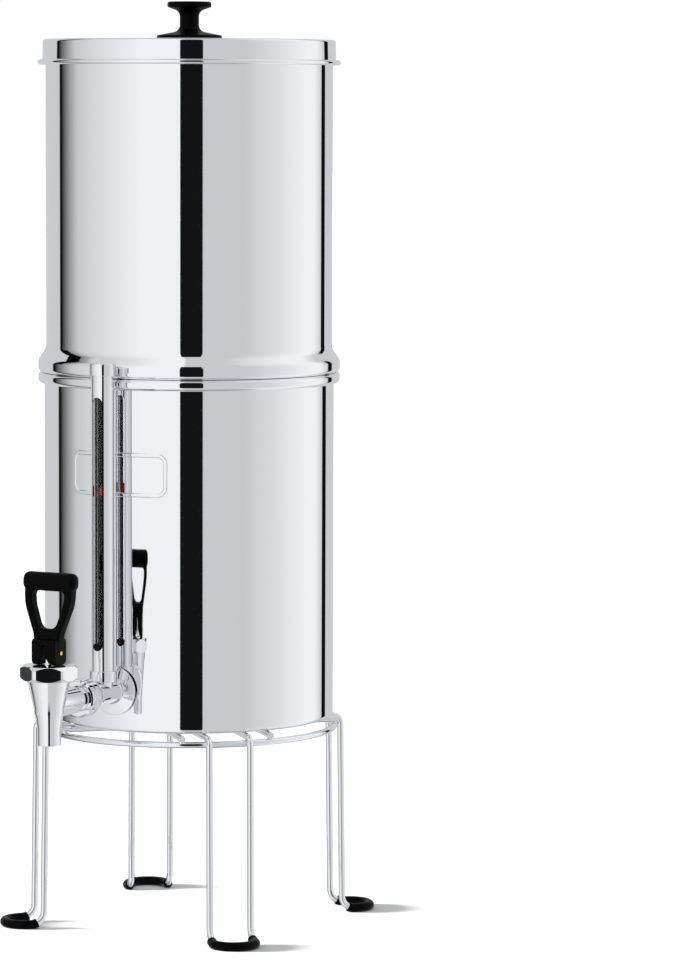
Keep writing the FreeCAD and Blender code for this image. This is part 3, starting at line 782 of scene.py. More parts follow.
def dress_node(node: str, finish: Finish) -> None:
    """Give a CAD node that stays in view its material.

    Args:
        node: the CAD node.
        finish: its finish.
    """
    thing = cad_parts[node]
    thing.data.materials.clear()
    thing.data.materials.append(finish.material())


@dataclass
class Stand:
    """Wire ring with four bent legs welded on it and a vinyl sleeve on each foot."""

    wire_r: float = 2.5
    spacing: float = 31.2
    lean: float = 2.0
    top_bend: float = 6.0
    foot_bend: float = 10.0
    foot_reach: float = 26.0
    foot_corner: float = 15.0
    hairpin_apex: float = 51.0
    hairpin_return: float = 34.0
    hairpin_bend: float = 9.0
    sleeve_wall: float = 1.1
    sleeve_flat: float = 0.45
    sleeve_start_deg: float = 60.0
    end_round: float = 0.8
    lip_round: float = 0.6
    weld_r: float = 2.1
    weld_flat: float = 0.55
    places: tuple[str, ...] = ("front_right", "rear_right", "rear_left", "front_left")
    feet: list[Thing] = field(default_factory=list)

    def __post_init__(self) -> None:
        """Read the ring's place from the frame."""
        low, high = node_box("stand_ring")
        self.ring_r = high.x - self.wire_r
        self.ring_z = (low.z + high.z) / 2
        self.wire_z = node_box("leg_front_right")[1].z - self.wire_r
        self.top_reach = self.ring_r + 2 * self.wire_r
        self.sleeve_r = self.wire_r + self.sleeve_wall
        self.foot_z = self.sleeve_r - self.sleeve_flat

    def half_leg(self) -> list[tuple[Vector, float]]:
        """Corners and radii from a hairpin's end to the foot's outer corner.

        Returns:
            The corners, each with its radius.
        """
        side = self.spacing / 2
        end = math.sqrt((self.ring_r + self.wire_r) ** 2 - self.hairpin_return ** 2)
        foot = self.top_reach + self.lean
        return [
            (Vector((end, self.hairpin_return, self.wire_z)), 0.0),
            (Vector((self.hairpin_apex, self.hairpin_return, self.wire_z)), self.hairpin_bend),
            (Vector((self.hairpin_apex, side, self.wire_z)), self.hairpin_bend),
            (Vector((self.top_reach, side, self.wire_z)), self.top_bend),
            (Vector((foot, side, self.foot_z)), self.foot_bend),
            (Vector((foot + self.foot_reach, side, self.foot_z)), self.foot_corner),
        ]

    def mirrored(self, half: list[tuple[Vector, float]]) -> list[Vector]:
        """Rounded path through a half and its mirror image."""
        whole = half + [(Vector((place.x, -place.y, place.z)), radius) for place, radius in reversed(half)]
        return rounded_path([place for place, radius in whole], [radius for place, radius in whole])

    def leg(self) -> Shape:
        """One leg's wire, its foot pointing along +X."""
        path, radii = eased_ends(self.mirrored(self.half_leg()), self.wire_r, self.end_round)
        return swept(path, radii)

    def sleeve(self) -> Shape:
        """The sleeve of one foot, flat where it stands.

        Returns:
            The sleeve, its foot pointing along +X.
        """
        half = self.half_leg()[3:]
        half[0] = (half[0][0], 0.0)
        path = self.mirrored(half)
        bend_x = self.top_reach + self.lean + self.foot_bend
        mouth_x = bend_x - self.foot_bend * math.cos(math.radians(self.sleeve_start_deg))
        path = [place for place in path if place.x > mouth_x - 0.2]
        path, radii = eased_ends(path, self.sleeve_r, self.lip_round)
        shape = swept(path, radii, 32)
        for place in shape.points:
            place.z = max(place.z, 0.0)
        return shape

    def welds(self) -> Shape:
        """Weld beads where a leg's four wires cross the ring.

        Returns:
            The beads of one leg, its foot pointing along +X.
        """
        bead = turned(outline([(0, -1), (1, -1), (1, 1), (0, 1)], [0, 0.99, 0.99, 0]), 20)
        size = Matrix.Diagonal((self.weld_r, self.weld_r, self.weld_flat * self.weld_r, 1.0))
        beads = Shape()
        for side in (self.spacing / 2, self.hairpin_return, -self.spacing / 2, -self.hairpin_return):
            reach = math.sqrt(self.ring_r ** 2 - side ** 2)
            middle = Matrix.Translation((reach, side, (self.wire_z + self.ring_z) / 2))
            beads.join(bead.moved(middle @ size))
        return beads

    def build(self) -> None:
        """Make and dress the stand's pieces."""
        ring = []
        for step in range(24):
            angle = math.tau * step / 24
            across = self.ring_r + self.wire_r * math.cos(angle)
            ring.append(Vector((across, 0.0, self.ring_z + self.wire_r * math.sin(angle))))
        finished(turned(ring, 256).piece("ring_wire"), Body.STAND, [WIRE], ["stand_ring"])
        leg = self.leg()
        sleeve = self.sleeve()
        welds = self.welds()
        for index, place in enumerate(self.places):
            turn = Matrix.Rotation(math.radians(90 * index - 45), 4, "Z")
            wire = leg.moved(turn).piece("leg_wire_" + place)
            finished(wire, Body.STAND, [WIRE], ["leg_" + place])
            foot = sleeve.moved(turn).piece("sleeve_" + place)
            finished(foot, Body.STAND, [DIPPED_VINYL], ["foot_sleeve_" + place])
            self.feet.append(foot)
            finished(welds.moved(turn).piece("weld_beads_" + place), Body.STAND, [WIRE])


@dataclass
class LowerChamber:
    """Spun chamber with a rolled bead at its mouth and a bare embossed frame in front."""

    sheet: float = 0.8
    corner: float = 4.0
    bead_h: float = 8.3
    bead_reach: float = 4.6
    bead_round: float = 3.4
    bead_top_round: float = 2.8
    curl_gap: float = 0.3
    plate_half_w: float = 41.4
    plate_low: float = 331.0
    plate_high: float = 363.7
    plate_corner: float = 8.0
    ridge_w: float = 3.2
    ridge_shoulder: float = 0.4
    ridge_h: float = 0.4
    ridge_sink: float = 0.04
    ridge_step: float = 2.0

    def __post_init__(self) -> None:
        """Read the chamber's place from the frame."""
        low, high = node_box("lower_chamber")
        self.floor_z = low.z
        self.rim_z = high.z
        self.bead_r = high.x
        self.wall_r = self.bead_r - self.bead_reach

    def shell(self) -> Shape:
        """The bent sheet of the chamber.

        Returns:
            The chamber in its place.
        """
        middle = self.sheet / 2
        wall = self.wall_r - middle
        bead = self.bead_r - middle
        foot = self.rim_z - self.bead_h + middle
        pairs = [
            (0.0, self.floor_z + middle),
            (wall, self.floor_z + middle),
            (wall, self.rim_z - middle),
            (bead, self.rim_z - middle),
            (bead, foot),
            (self.wall_r + self.curl_gap + middle, foot),
        ]
        radii = [
            0.0,
            self.corner - middle,
            self.sheet + middle,
            self.bead_top_round - middle,
            self.bead_round - middle,
            0.0,
        ]
        return turned(sheet_outline(pairs, radii, self.sheet), SHEET_SIDES)

    def plate_frame(self) -> Shape:
        """Raised flat-topped frame with rounded corners, laid on the curve of the wall.

        Returns:
            The frame in its place.
        """
        inset = self.ridge_w / 2
        wide = self.plate_half_w - inset
        low = self.plate_low + inset
        high = self.plate_high - inset
        corners = [Vector((x, 0, z)) for x, z in ((-wide, low), (wide, low), (wide, high), (-wide, high))]
        path = stepped(rounded_path(corners, [self.plate_corner - inset] * 4, closed=True), self.ridge_step)
        rows = []
        for index, place in enumerate(path):
            along = (path[(index + 1) % len(path)] - path[index - 1]).normalized()
            side = Vector((-along.z, 0.0, along.x))
            row = []
            for step in range(17):
                share = step / 8 - 1
                climb = min(1.0, (1 - abs(share)) / self.ridge_shoulder)
                height = (self.ridge_h + self.ridge_sink) * math.sin(climb * math.pi / 2) ** 2
                spot = place + side * (share * self.ridge_w / 2)
                angle = spot.x / self.wall_r
                reach = self.wall_r + height - self.ridge_sink
                row.append(Vector((reach * math.sin(angle), -reach * math.cos(angle), spot.z)))
            rows.append(row)
        return Shape().grid(rows, wrap_rows=True, wrap_points=True)

    def build(self) -> None:
        """Make and dress the chamber's pieces."""
        shell = self.shell().piece("lower_chamber_shell")
        finished(shell, Body.LOWER, [SHEET], ["lower_chamber"])
        finished(self.plate_frame().piece("embossed_plate_frame", 80.0), Body.LOWER, [SHEET])


@dataclass
class UpperChamber:
    """Chamber whose shoulder sits on the lower rim, with the filter elements inside."""

    sheet: float = 0.8
    wall_r: float = 108.0
    corner: float = 6.0
    spigot: float = 22.8
    shoulder_h: float = 9.2
    shoulder_deg: float = 35.0
    shoulder_round: float = 6.0
    flare_round: float = 10.0
    bead_round: float = 3.4

    def __post_init__(self) -> None:
        """Read the chamber's place from the frame."""
        low, high = node_box("upper_chamber")
        self.floor_z = low.z
        self.top_z = high.z
        self.seam_z = low.z + self.spigot
        self.bead_r = high.x

    def shell(self) -> Shape:
        """The bent sheet of the chamber.

        Returns:
            The chamber in its place.
        """
        middle = self.sheet / 2
        wall = self.wall_r - middle
        bead = self.bead_r - middle
        shoulder = self.seam_z + self.shoulder_h
        flare = shoulder + (bead - wall) / math.tan(math.radians(self.shoulder_deg))
        pairs = [
            (0.0, self.floor_z + middle),
            (wall, self.floor_z + middle),
            (wall, self.seam_z + middle),
            (bead, self.seam_z + middle),
            (bead, shoulder),
            (wall, flare),
            (wall, self.top_z),
        ]
        radii = [
            0.0,
            self.corner - middle,
            self.sheet,
            self.bead_round - middle,
            self.shoulder_round,
            self.flare_round,
            0.0,
        ]
        return turned(sheet_outline(pairs, radii, self.sheet), SHEET_SIDES)

    def build(self) -> None:
        """Make and dress the chamber."""
        shell = self.shell().piece("upper_chamber_shell")
        finished(shell, Body.UPPER, [SHEET], ["upper_chamber"])


@dataclass
class FilterElement:
    """Carbon block in a plastic end cap with a hollow threaded stem."""

    name: str = "1"
    block_r: float = 29.65
    block_round: float = 1.5
    cap_r: float = 31.0
    cap_h: float = 13.0
    cap_plate: float = 3.0
    boss_r: float = 15.0
    boss_h: float = 2.5
    stem_r: float = 4.5
    stem_bore_r: float = 2.2
    thread_pitch: float = 2.0
    thread_depth: float = 0.55
    thread_clear: float = 8.5

    def __post_init__(self) -> None:
        """Read the element's place from the frame."""
        low, high = node_box("element_cap_" + self.name)
        self.axis = Vector(((low.x + high.x) / 2, (low.y + high.y) / 2, 0.0))
        self.stem_foot = low.z
        self.plate_z = high.z - self.cap_h
        self.block_top = node_box("element_block_" + self.name)[1].z

    def block(self) -> Shape:
        """The pressed block, round at its top edge.

        Returns:
            The block on the Z axis.
        """
        foot = self.plate_z + self.cap_plate
        pairs = [(0.0, foot), (self.block_r, foot), (self.block_r, self.block_top), (0.0, self.block_top)]
        return turned(outline(pairs, [0.0, 0.0, self.block_round, 0.0]), 96)

    def cap(self) -> Shape:
        """The end cap with its plain stem core.

        Returns:
            The cap on the Z axis.
        """
        boss_foot = self.plate_z - self.boss_h
        core = self.stem_r - self.thread_depth
        pairs = [
            (self.stem_bore_r, self.stem_foot),
            (core, self.stem_foot),
            (core, boss_foot - self.thread_clear),
            (self.stem_r, boss_foot - self.thread_clear + self.thread_depth),
            (self.stem_r, boss_foot),
            (self.boss_r, boss_foot),
            (self.boss_r, self.plate_z),
            (self.cap_r, self.plate_z),
            (self.cap_r, self.plate_z + self.cap_h),
            (self.block_r + 0.05, self.plate_z + self.cap_h),
            (self.block_r + 0.05, self.plate_z + self.cap_plate),
            (self.stem_bore_r, self.plate_z + self.cap_plate),
        ]
        radii = [0.0, 0.5, 0.0, 0.0, 0.4, 0.6, 0.3, 1.2, 0.4, 0.2, 0.0, 0.0]
        return turned(outline(pairs, radii), 96)

    def thread(self) -> Shape:
        """Helical thread wound round the stem core.

        Returns:
            The thread on the Z axis.
        """
        top = self.plate_z - self.boss_h - self.thread_clear
        core = self.stem_r - self.thread_depth - 0.1
        length = top - self.stem_foot - self.thread_pitch
        steps = round(length / self.thread_pitch * 24)
        rows = []
        for step in range(steps + 1):
            angle = math.tau * step / 24
            fade = min(1.0, step / 12, (steps - step) / 12)
            crest = core + (self.stem_r - core) * fade
            middle = self.stem_foot + self.thread_pitch * (0.5 + step / 24)
            half = self.thread_pitch * 0.42
            row = []
            for reach, rise in ((core, -half), (crest, -half * 0.25), (crest, half * 0.25), (core, half)):
                row.append(around(reach, angle, middle + rise))
            rows.append(row)
        return Shape().grid(rows).cap(rows[0]).cap(rows[-1])

    def build(self) -> None:
        """Make and dress the element's pieces."""
        home = Matrix.Translation(self.axis)
        block = self.block().moved(home).piece("carbon_block_" + self.name)
        finished(block, Body.UPPER, [PressedCarbon()], ["element_block_" + self.name])
        cap = self.cap().join(self.thread()).moved(home).piece("end_cap_" + self.name)
        finished(cap, Body.UPPER, [POLYPROPYLENE], ["element_cap_" + self.name])
        dress_node("element_seal_" + self.name, NITRILE)
        dress_node("wing_nut_" + self.name, POLYPROPYLENE)


@dataclass
class Lid:
    """Slip-on lid with a curled edge and a turned plastic knob."""

    sheet: float = 0.8
    skirt: float = 18.9
    spread: float = 0.4
    curl: float = 3.8
    corner: float = 2.0
    skirt_gap: float = 1.2
    fold_gap: float = 0.3
    chamber_r: float = 108.0
    base_r: float = 24.5
    base_h: float = 3.3
    waist_r: float = 7.2
    top_r: float = 16.5
    top_h: float = 4.0

    def __post_init__(self) -> None:
        """Read the lid's place from the frame."""
        self.top_z = node_box("lid")[1].z
        self.curl_r = node_box("lid")[1].x
        self.knob_h = node_box("lid_knob")[1].z - self.top_z

    def shell(self) -> Shape:
        """The bent sheet of the lid.

        Returns:
            The lid in its place.
        """
        middle = self.sheet / 2
        top = self.top_z - middle
        skirt_top = self.chamber_r + self.skirt_gap + middle
        skirt_foot = skirt_top + self.spread
        foot = self.top_z - self.skirt
        curl = self.curl_r - middle
        rounding = self.curl / 2 - middle
        pairs = [
            (0.0, top),
            (skirt_top, top),
            (skirt_foot, foot + middle),
            (curl, foot + middle),
            (curl, foot + self.curl - middle),
            (skirt_foot + self.sheet + self.fold_gap, foot + self.curl - middle),
        ]
        radii = [0.0, self.corner - middle, middle + self.fold_gap, rounding, rounding, 0.0]
        return turned(sheet_outline(pairs, radii, self.sheet), SHEET_SIDES)

    def knob(self) -> Shape:
        """The knob with its wide foot, narrow waist and thick top disc.

        Returns:
            The knob in its place.
        """
        pairs = [
            (0.0, 0.0),
            (self.base_r, 0.0),
            (self.base_r, self.base_h),
            (self.waist_r, 2 * self.base_h),
            (self.waist_r, self.knob_h - self.top_h - self.base_h),
            (self.top_r, self.knob_h - self.top_h),
            (self.top_r, self.knob_h),
            (0.0, self.knob_h),
        ]
        shape = turned(outline(pairs, [0.0, 0.4, 1.0, 5.5, 5.5, 1.2, 1.6, 0.0]), 128)
        return shape.moved(raised(self.top_z))

    def build(self) -> None:
        """Make and dress the lid's pieces."""
        finished(self.shell().piece("lid_shell"), Body.LID, [SHEET], ["lid"])
        finished(self.knob().piece("knob"), Body.LID, [ABS], ["lid_knob"])
        dress_node("knob_screw", CASTING)
        dress_node("knob_washer", CASTING)


@dataclass
class Outlet:
    """Outlet body with its bell flange, the seals, the nut behind and the coupling nut."""

    shank_r: float = 8.0
    bore_r: float = 4.5
    flange_r: float = 18.25
    flange_h: float = 3.4
    barrel_r: float = 8.5
    ring_w: float = 3.0
    ring_rise: float = 1.2
    thread_r: float = 6.9
    thread_l: float = 10.0
    boss_r: float = 7.5
    coupling_r: float = 14.0
    coupling_flare: float = 9.0
    groove_w: float = 1.4
    groove_depth: float = 0.9

    def __post_init__(self) -> None:
        """Read the outlet's place from the frame."""
        low, high = node_box("outlet_body")
        self.end_out = -low.y - self.thread_l
        self.start_out = -high.y
        nut_low, nut_high = node_box("coupling_nut")
        self.coupling_start = -nut_high.y
        self.coupling_end = -nut_low.y
        self.axis_z = (nut_low.z + nut_high.z) / 2
        self.flange_out = -node_box("wall_seal_outer")[0].y
        guard_low, guard_high = node_box("gauge_guard")
        self.gauge_out = -(guard_low.y + guard_high.y) / 2
        self.gauge_foot = guard_low.z

    def body(self) -> Shape:
        """Shank, bell flange and barrel, with the boss that carries the gauge.

        Returns:
            The outlet body in its place.
        """
        ring = self.end_out - self.ring_w
        pairs = [
            (self.bore_r, self.start_out),
            (self.shank_r, self.start_out),
            (self.shank_r, self.flange_out),
            (self.flange_r, self.flange_out),
            (self.flange_r, self.flange_out + 1.5),
            (self.barrel_r, self.flange_out + self.flange_h),
            (self.barrel_r, ring),
            (self.barrel_r + self.ring_rise, ring),
            (self.barrel_r + self.ring_rise, self.end_out),
            (self.thread_r, self.end_out),
            (self.thread_r, self.end_out + self.thread_l),
            (self.bore_r, self.end_out + self.thread_l),
        ]
        radii = [0.0, 0.8, 0.0, 0.6, 0.7, 2.4, 0.3, 0.5, 0.5, 0.0, 0.6, 0.0]
        laid = turned(outline(pairs, radii), 128).moved(outward_at(self.axis_z))
        rise = self.gauge_foot - self.axis_z
        boss = turned(outline([(0, 0), (self.boss_r, 0), (self.boss_r, rise), (0, rise)]), 64)
        return laid.join(boss.moved(Matrix.Translation((0.0, -self.gauge_out, self.axis_z))))

    def coupling(self) -> Shape:
        """Flared round nut with a groove round its middle.

        Returns:
            The nut in its place.
        """
        length = self.coupling_end - self.coupling_start
        groove = self.coupling_flare + (length - self.coupling_flare) / 2
        half = self.groove_w / 2
        pairs = [
            (self.thread_r, 0.0),
            (self.barrel_r + 0.6, 0.0),
            (self.coupling_r, self.coupling_flare),
            (self.coupling_r, groove - half),
            (self.coupling_r - self.groove_depth, groove),
            (self.coupling_r, groove + half),
            (self.coupling_r, length - 1.0),
            (self.coupling_r - 1.4, length),
            (self.thread_r, length),
        ]
        shape = turned(outline(pairs, [0.0, 0.4, 3.0, 0.3, 0.2, 0.3, 0.5, 0.3, 0.0]), 128)
        return shape.moved(outward_at(self.axis_z) @ raised(self.coupling_start))

    def build(self) -> None:
        """Make and dress the outlet's pieces."""
        finished(self.body().piece("outlet_casting"), Body.LOWER, [CASTING], ["outlet_body"])
        nut = self.coupling().piece("coupling_ring_nut")
        finished(nut, Body.LOWER, [CASTING], ["coupling_nut"])
        dress_node("wall_seal_outer", NITRILE)
        dress_node("wall_seal_inner", NITRILE)
        dress_node("shank_nut", CASTING)


@dataclass
class SightGauge:
    """Glass tube with a red float, in a steel guard with two windows, a collar and a cap."""

    guard_r: float = 8.6
    guard_wall: float = 1.85
    slot_w: float = 8.0
    slot_start: float = 22.0
    slot_top: float = 22.5
    collar_r: float = 10.5
    boss_r: float = 7.5
    cap_r: float = 10.0
    glass_r: float = 6.0
    glass_wall: float = 1.25
    float_r: float = 4.0

    def __post_init__(self) -> None:
        """Read the gauge's place from the frame."""
        low, high = node_box("gauge_guard")
        self.out = -(low.y + high.y) / 2
        self.foot = low.z
        self.top = high.z
        self.home = Matrix.Translation((0.0, -self.out, 0.0))

    def window(self, across: Sequence[float]) -> Shape:
        """The guard's wall above and below one long round-ended window, with the window's edges.

        Args:
            across: places across the window, from its left edge to its right.

        Returns:
            The strip of wall, its window facing -Y.
        """
        half = self.slot_w / 2
        inner = self.guard_r - self.guard_wall
        shape = Shape()

        def row(radius: float, heights: Sequence[float]) -> list[Vector]:
            """Points on the guard's round at places across the window."""
            return [Vector((x, -math.sqrt(radius ** 2 - x ** 2), z)) for x, z in zip(across, heights)]

        drops = [half - math.sqrt(max(half ** 2 - x ** 2, 0.0)) for x in across]
        ends = ((self.foot, self.foot + self.slot_start, 1), (self.top, self.top - self.slot_top, -1))
        for far, edge, sign in ends:
            arch = [edge + sign * drop for drop in drops]
            level = [far] * len(across)
            shape.grid([row(self.guard_r, level), row(self.guard_r, arch)], wrap_points=False)
            shape.grid([row(inner, level), row(inner, arch)], wrap_points=False, inner=True)
            shape.grid([row(self.guard_r, arch), row(inner, arch)], wrap_points=False)
            shape.grid([row(self.guard_r, level), row(inner, level)], wrap_points=False)
        return shape

    def guard(self) -> Shape:
        """Tube with a window in front and one behind; its bore has the second material.

        Returns:
            The guard in its place.
        """
        half = self.slot_w / 2
        inner = self.guard_r - self.guard_wall
        columns = 24
        shape = self.window([-half * math.cos(math.pi * step / columns) for step in range(columns + 1)])
        low = self.foot + self.slot_start + half
        high = self.top - self.slot_top - half
        levels = [self.foot, low, high, self.top]
        sides = 48
        walls = []
        for radius in (self.guard_r, inner):
            begin = math.asin(half / radius)
            rows = []
            for level in levels:
                angles = [begin + (math.pi - 2 * begin) * step / sides for step in range(sides + 1)]
                rows.append([around(radius, angle - math.pi / 2, level) for angle in angles])
            walls.append(rows)
        outside, bore = walls
        shape.grid(outside, wrap_points=False)
        shape.grid(bore, wrap_points=False, inner=True)
        for index in (0, -1):
            shape.grid([outside[index], bore[index]], wrap_points=False)
            edges = [[outside[row][index], bore[row][index]] for row in (1, 2)]
            shape.grid(edges, wrap_points=False)
        shape.join(shape.moved(Matrix.Rotation(math.pi, 4, "Z")))
        return shape.moved(self.home)

    def collar(self) -> Shape:
        """Collar that clamps the guard's foot.

        Returns:
            The collar in its place.
        """
        low, high = node_box("gauge_collar")
        pairs = [
            (self.boss_r, low.z),
            (self.collar_r, low.z),
            (self.collar_r, high.z),
            (self.guard_r, high.z),
            (self.guard_r, self.foot),
            (self.boss_r, self.foot),
        ]
        return turned(outline(pairs, [0.0, 0.5, 0.9, 0.0, 0.0, 0.0]), 96).moved(self.home)

    def cap(self) -> Shape:
        """Cap on the guard's top.

        Returns:
            The cap in its place.
        """
        low, high = node_box("gauge_cap")
        pairs = [
            (self.guard_r, low.z),
            (self.cap_r, low.z),
            (self.cap_r, high.z),
            (0.0, high.z),
            (0.0, self.top),
            (self.guard_r, self.top),
        ]
        return turned(outline(pairs, [0.0, 0.4, 1.2, 0.0, 0.0, 0.0]), 96).moved(self.home)

    def glass(self) -> Shape:
        """Clear tube with fire-polished ends.

        Returns:
            The glass in its place.
        """
        low, high = node_box("glass_tube")
        inner = self.glass_r - self.glass_wall
        pairs = [(inner, low.z), (self.glass_r, low.z), (self.glass_r, high.z), (inner, high.z)]
        return turned(outline(pairs, [0.4] * 4), 64).moved(self.home)

    def ball(self) -> Shape:
        """The float.

        Returns:
            The ball in its place.
        """
        low, high = node_box("water_float")
        r = self.float_r
        line = outline([(0, -r), (r, -r), (r, r), (0, r)], [0.0, r - 0.01, r - 0.01, 0.0])
        return turned(line, 48).moved(self.home @ raised((low.z + high.z) / 2))

    def build(self) -> None:
        """Make and dress the gauge's pieces."""
        guard = self.guard().piece("gauge_guard_tube")
        # The guard's bore takes the near-black metal whose colour is painted shade inside the guard.
        finished(guard, Body.LOWER, [CASTING, BORE_PAINTED_SHADE], ["gauge_guard"])
        finished(self.collar().piece("gauge_collar_ring"), Body.LOWER, [CASTING], ["gauge_collar"])
        finished(self.cap().piece("gauge_top_cap"), Body.LOWER, [CASTING], ["gauge_cap"])
        finished(self.glass().piece("sight_glass"), Body.LOWER, [CLEAR], ["glass_tube"])
        finished(self.ball().piece("float_ball"), Body.FLOAT, [RED_FLOAT], ["water_float"])
        dress_node("gauge_seal_lower", NITRILE)
        dress_node("gauge_seal_upper", NITRILE)


@dataclass
class Tap:
    """Tapered tap body with its spout, a hexagonal bonnet and the lever."""

    top_r: float = 16.0
    spout_r: float = 8.7
    spout_bore: float = 6.0
    spout_h: float = 11.3
    hollow: float = 0.6
    boss_r: float = 10.0
    boss_l: float = 38.0
    chamber_r: float = 11.05
    seat_h: float = 23.0
    bonnet_af: float = 37.6
    chamfer: float = 2.9
    corner_round: float = 3.7
    bonnet_step: float = 1.2
    break_edge: float = 0.4
    face_inset: float = 0.25
    stem_r: float = 3.5
    stem_gap: float = 0.2
    voxel: float = 0.45
    smooth_rounds: int = 6

    def __post_init__(self) -> None:
        """Read the tap's place from the frame."""
        pin_low, pin_high = node_box("lever_pin")
        self.out = -(pin_low.y + pin_high.y) / 2
        self.foot = node_box("tap_body")[0].z
        self.top = node_box("tap_body")[1].z
        self.bonnet_top = node_box("bonnet_nut")[1].z
        nut_low, nut_high = node_box("coupling_nut")
        self.axis_z = (nut_low.z + nut_high.z) / 2
        self.boss_start = -nut_low.y
        self.home = Matrix.Translation((0.0, -self.out, 0.0))

    def body(self) -> Shape:
        """Tapered body with its hollow spout, and the boss towards the chamber.

        Returns:
            The body in its place.
        """
        spout_top = self.foot + self.spout_h
        steps = 16
        side = []
        for step in range(steps + 1):
            share = step / steps
            radius = self.spout_r + (self.top_r - self.spout_r) * share
            radius -= self.hollow * 4 * share * (1 - share)
            side.append(Vector((radius, 0.0, spout_top + (self.top - spout_top) * share)))
        lip = outline([
            (self.spout_bore, self.foot + self.seat_h),
            (self.spout_bore, self.foot),
            (self.spout_r, self.foot),
            (self.spout_r, spout_top),
        ], [0.0, 0.5, 0.6, 0.0], closed=False)
        rim = [Vector((self.chamber_r, 0.0, height)) for height in (self.top, self.foot + self.seat_h)]
        cone = turned(lip[:-1] + side + rim, 128).moved(self.home)
        length = self.boss_l - self.spout_bore
        pairs = [(0.0, 0.0), (self.boss_r, 0.0), (self.boss_r, length), (0.0, length)]
        boss = turned(outline(pairs, [0.0, 1.0, 0.0, 0.0]), 96)
        return cone.join(boss.moved(outward_at(self.axis_z) @ raised(self.boss_start)))

    def bonnet(self) -> Shape:
        """Hexagonal bonnet with chamfered, rounded corners and a hole for the stem.

        Returns:
            The bonnet in its place.
        """
        flat = self.bonnet_af / 2
        reach = self.bonnet_af / math.sqrt(3)
        corners = [around(reach, math.radians(60 * index + 30), 0.0) for index in range(6)]
        ring = stepped(rounded_path(corners, [self.corner_round] * 6, closed=True), self.bonnet_step)
        slope = self.chamfer / (reach - flat)
        height = self.bonnet_top - self.top
        drops = [self.face_inset + max(place.length - flat, 0.0) * slope for place in ring]
        hole = self.stem_r + self.stem_gap
        brim = self.break_edge / 4

        def level(radius: float, z: float) -> list[Vector]:
            """A round row of points at a height."""
            return [place.normalized() * radius + Vector((0.0, 0.0, z)) for place in ring]

        rows = [
            level(hole, 0.0),
            level(flat - self.break_edge, 0.0),
            level(flat - brim, brim),
            [place + Vector((0.0, 0.0, drop)) for place, drop in zip(ring, drops)],
            [place + Vector((0.0, 0.0, height - drop)) for place, drop in zip(ring, drops)],
            level(flat - brim, height - brim),
            level(flat - self.break_edge, height),
            level(hole + self.break_edge, height),
            level(hole, height - self.break_edge),
        ]
        return Shape().grid(rows, wrap_rows=True).moved(self.home @ raised(self.top))

    def build(self) -> None:
        """Make and dress the tap's pieces."""
        finished(self.body().piece("tap_cone"), Body.LOWER, [CASTING], ["tap_body"])
        finished(self.bonnet().piece("tap_bonnet", 20.0), Body.LOWER, [CASTING], ["bonnet_nut"])
        lever = moulded_copy("tap_lever", "lever_moulding", self.voxel, self.smooth_rounds)
        finished(lever, Body.LEVER, [ABS], ["tap_lever"])
        dress_node("valve_stem", CASTING)
        dress_node("seat_cup", SILICONE)
        dress_node("lever_pin", BRASS)


def moulded_copy(node: str, name: str, voxel: float, rounds: int) -> Thing:
    """Copy of a CAD node with the soft edges of a moulding.

    Args:
        node: the CAD node.
        name: the new piece's name.
        voxel: the mesh size in millimetres.
        rounds: how often the mesh is smoothed.

    Returns:
        The new piece.
    """
    work = bmesh.new()
    work.from_mesh(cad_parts[node].data)
    bmesh.ops.remove_doubles(work, verts=work.verts, dist=SAME_PLACE)
    mesh = bpy.data.meshes.new(name)
    work.to_mesh(mesh)
    work.free()
    copy = bpy.data.objects.new(name, mesh)
    bpy.context.scene.collection.objects.link(copy)
    remesh = copy.modifiers.new("Remesh", "REMESH")
    remesh.mode = "VOXEL"
    remesh.voxel_size = voxel * MM
    smooth = copy.modifiers.new("Smooth", "SMOOTH")
    smooth.factor = 0.5
    smooth.iterations = rounds
    graph = bpy.context.evaluated_depsgraph_get()
    final = bpy.data.meshes.new_from_object(copy.evaluated_get(graph))
    bpy.data.objects.remove(copy)
    final.name = name
    return placed(name, final, 60.0)


# The plain studio that metal reflects: a grey wall, two soft boxes and a black card
WALL = "#D0D1D4"
SOFT_BOX = "#FAFBFD"
BLACK_CARD = "#050506"


@dataclass(frozen=True)
class Card:
    """One card of the studio, between two angles round from the camera and two above level."""

    left_deg: float
    right_deg: float
    low_deg: float
    high_deg: float
    colour: str
    soft_round_deg: float
    soft_up_deg: float

    def cover(self, tree: Tree, angle: Socket, rise: Socket, behind: Socket) -> Socket:
        """Lay the card over what stands behind it.

        Args:
            tree: the world's node tree.
            angle: the angle round from the camera, in radians.
            rise: the height of the direction's unit vector.
            behind: the colour behind the card.

        Returns:
            The colour with the card in front.
        """
        shares = []
        for edge, sign in ((self.left_deg, -1), (self.right_deg, 1)):
            if abs(edge) < 180:
                ends = [math.radians(edge + sign * side * self.soft_round_deg) for side in (1, -1)]
                shares.append((angle, ends))
        for edge, sign in ((self.low_deg, -1), (self.high_deg, 1)):
            if abs(edge) < 90:
                ends = [math.sin(math.radians(edge + sign * side * self.soft_up_deg)) for side in (1, -1)]
                shares.append((rise, ends))
        share = None
        for value, (none, full) in shares:
            limits = {"From Min": none, "From Max": full}
            links = {0: add_node(tree, "ShaderNodeMapRange", limits, {"Value": value}).outputs["Result"]}
            if share is not None:
                links[1] = share
            values = {1: 1.0} if share is None else None
            share = add_node(tree, "ShaderNodeMath", values, links, operation="MULTIPLY").outputs["Value"]
        links = {"Factor": share, "A": behind}
        mixed = add_node(tree, "ShaderNodeMix", {"B": linear(self.colour)}, links, data_type="RGBA")
        return mixed.outputs["Result"]


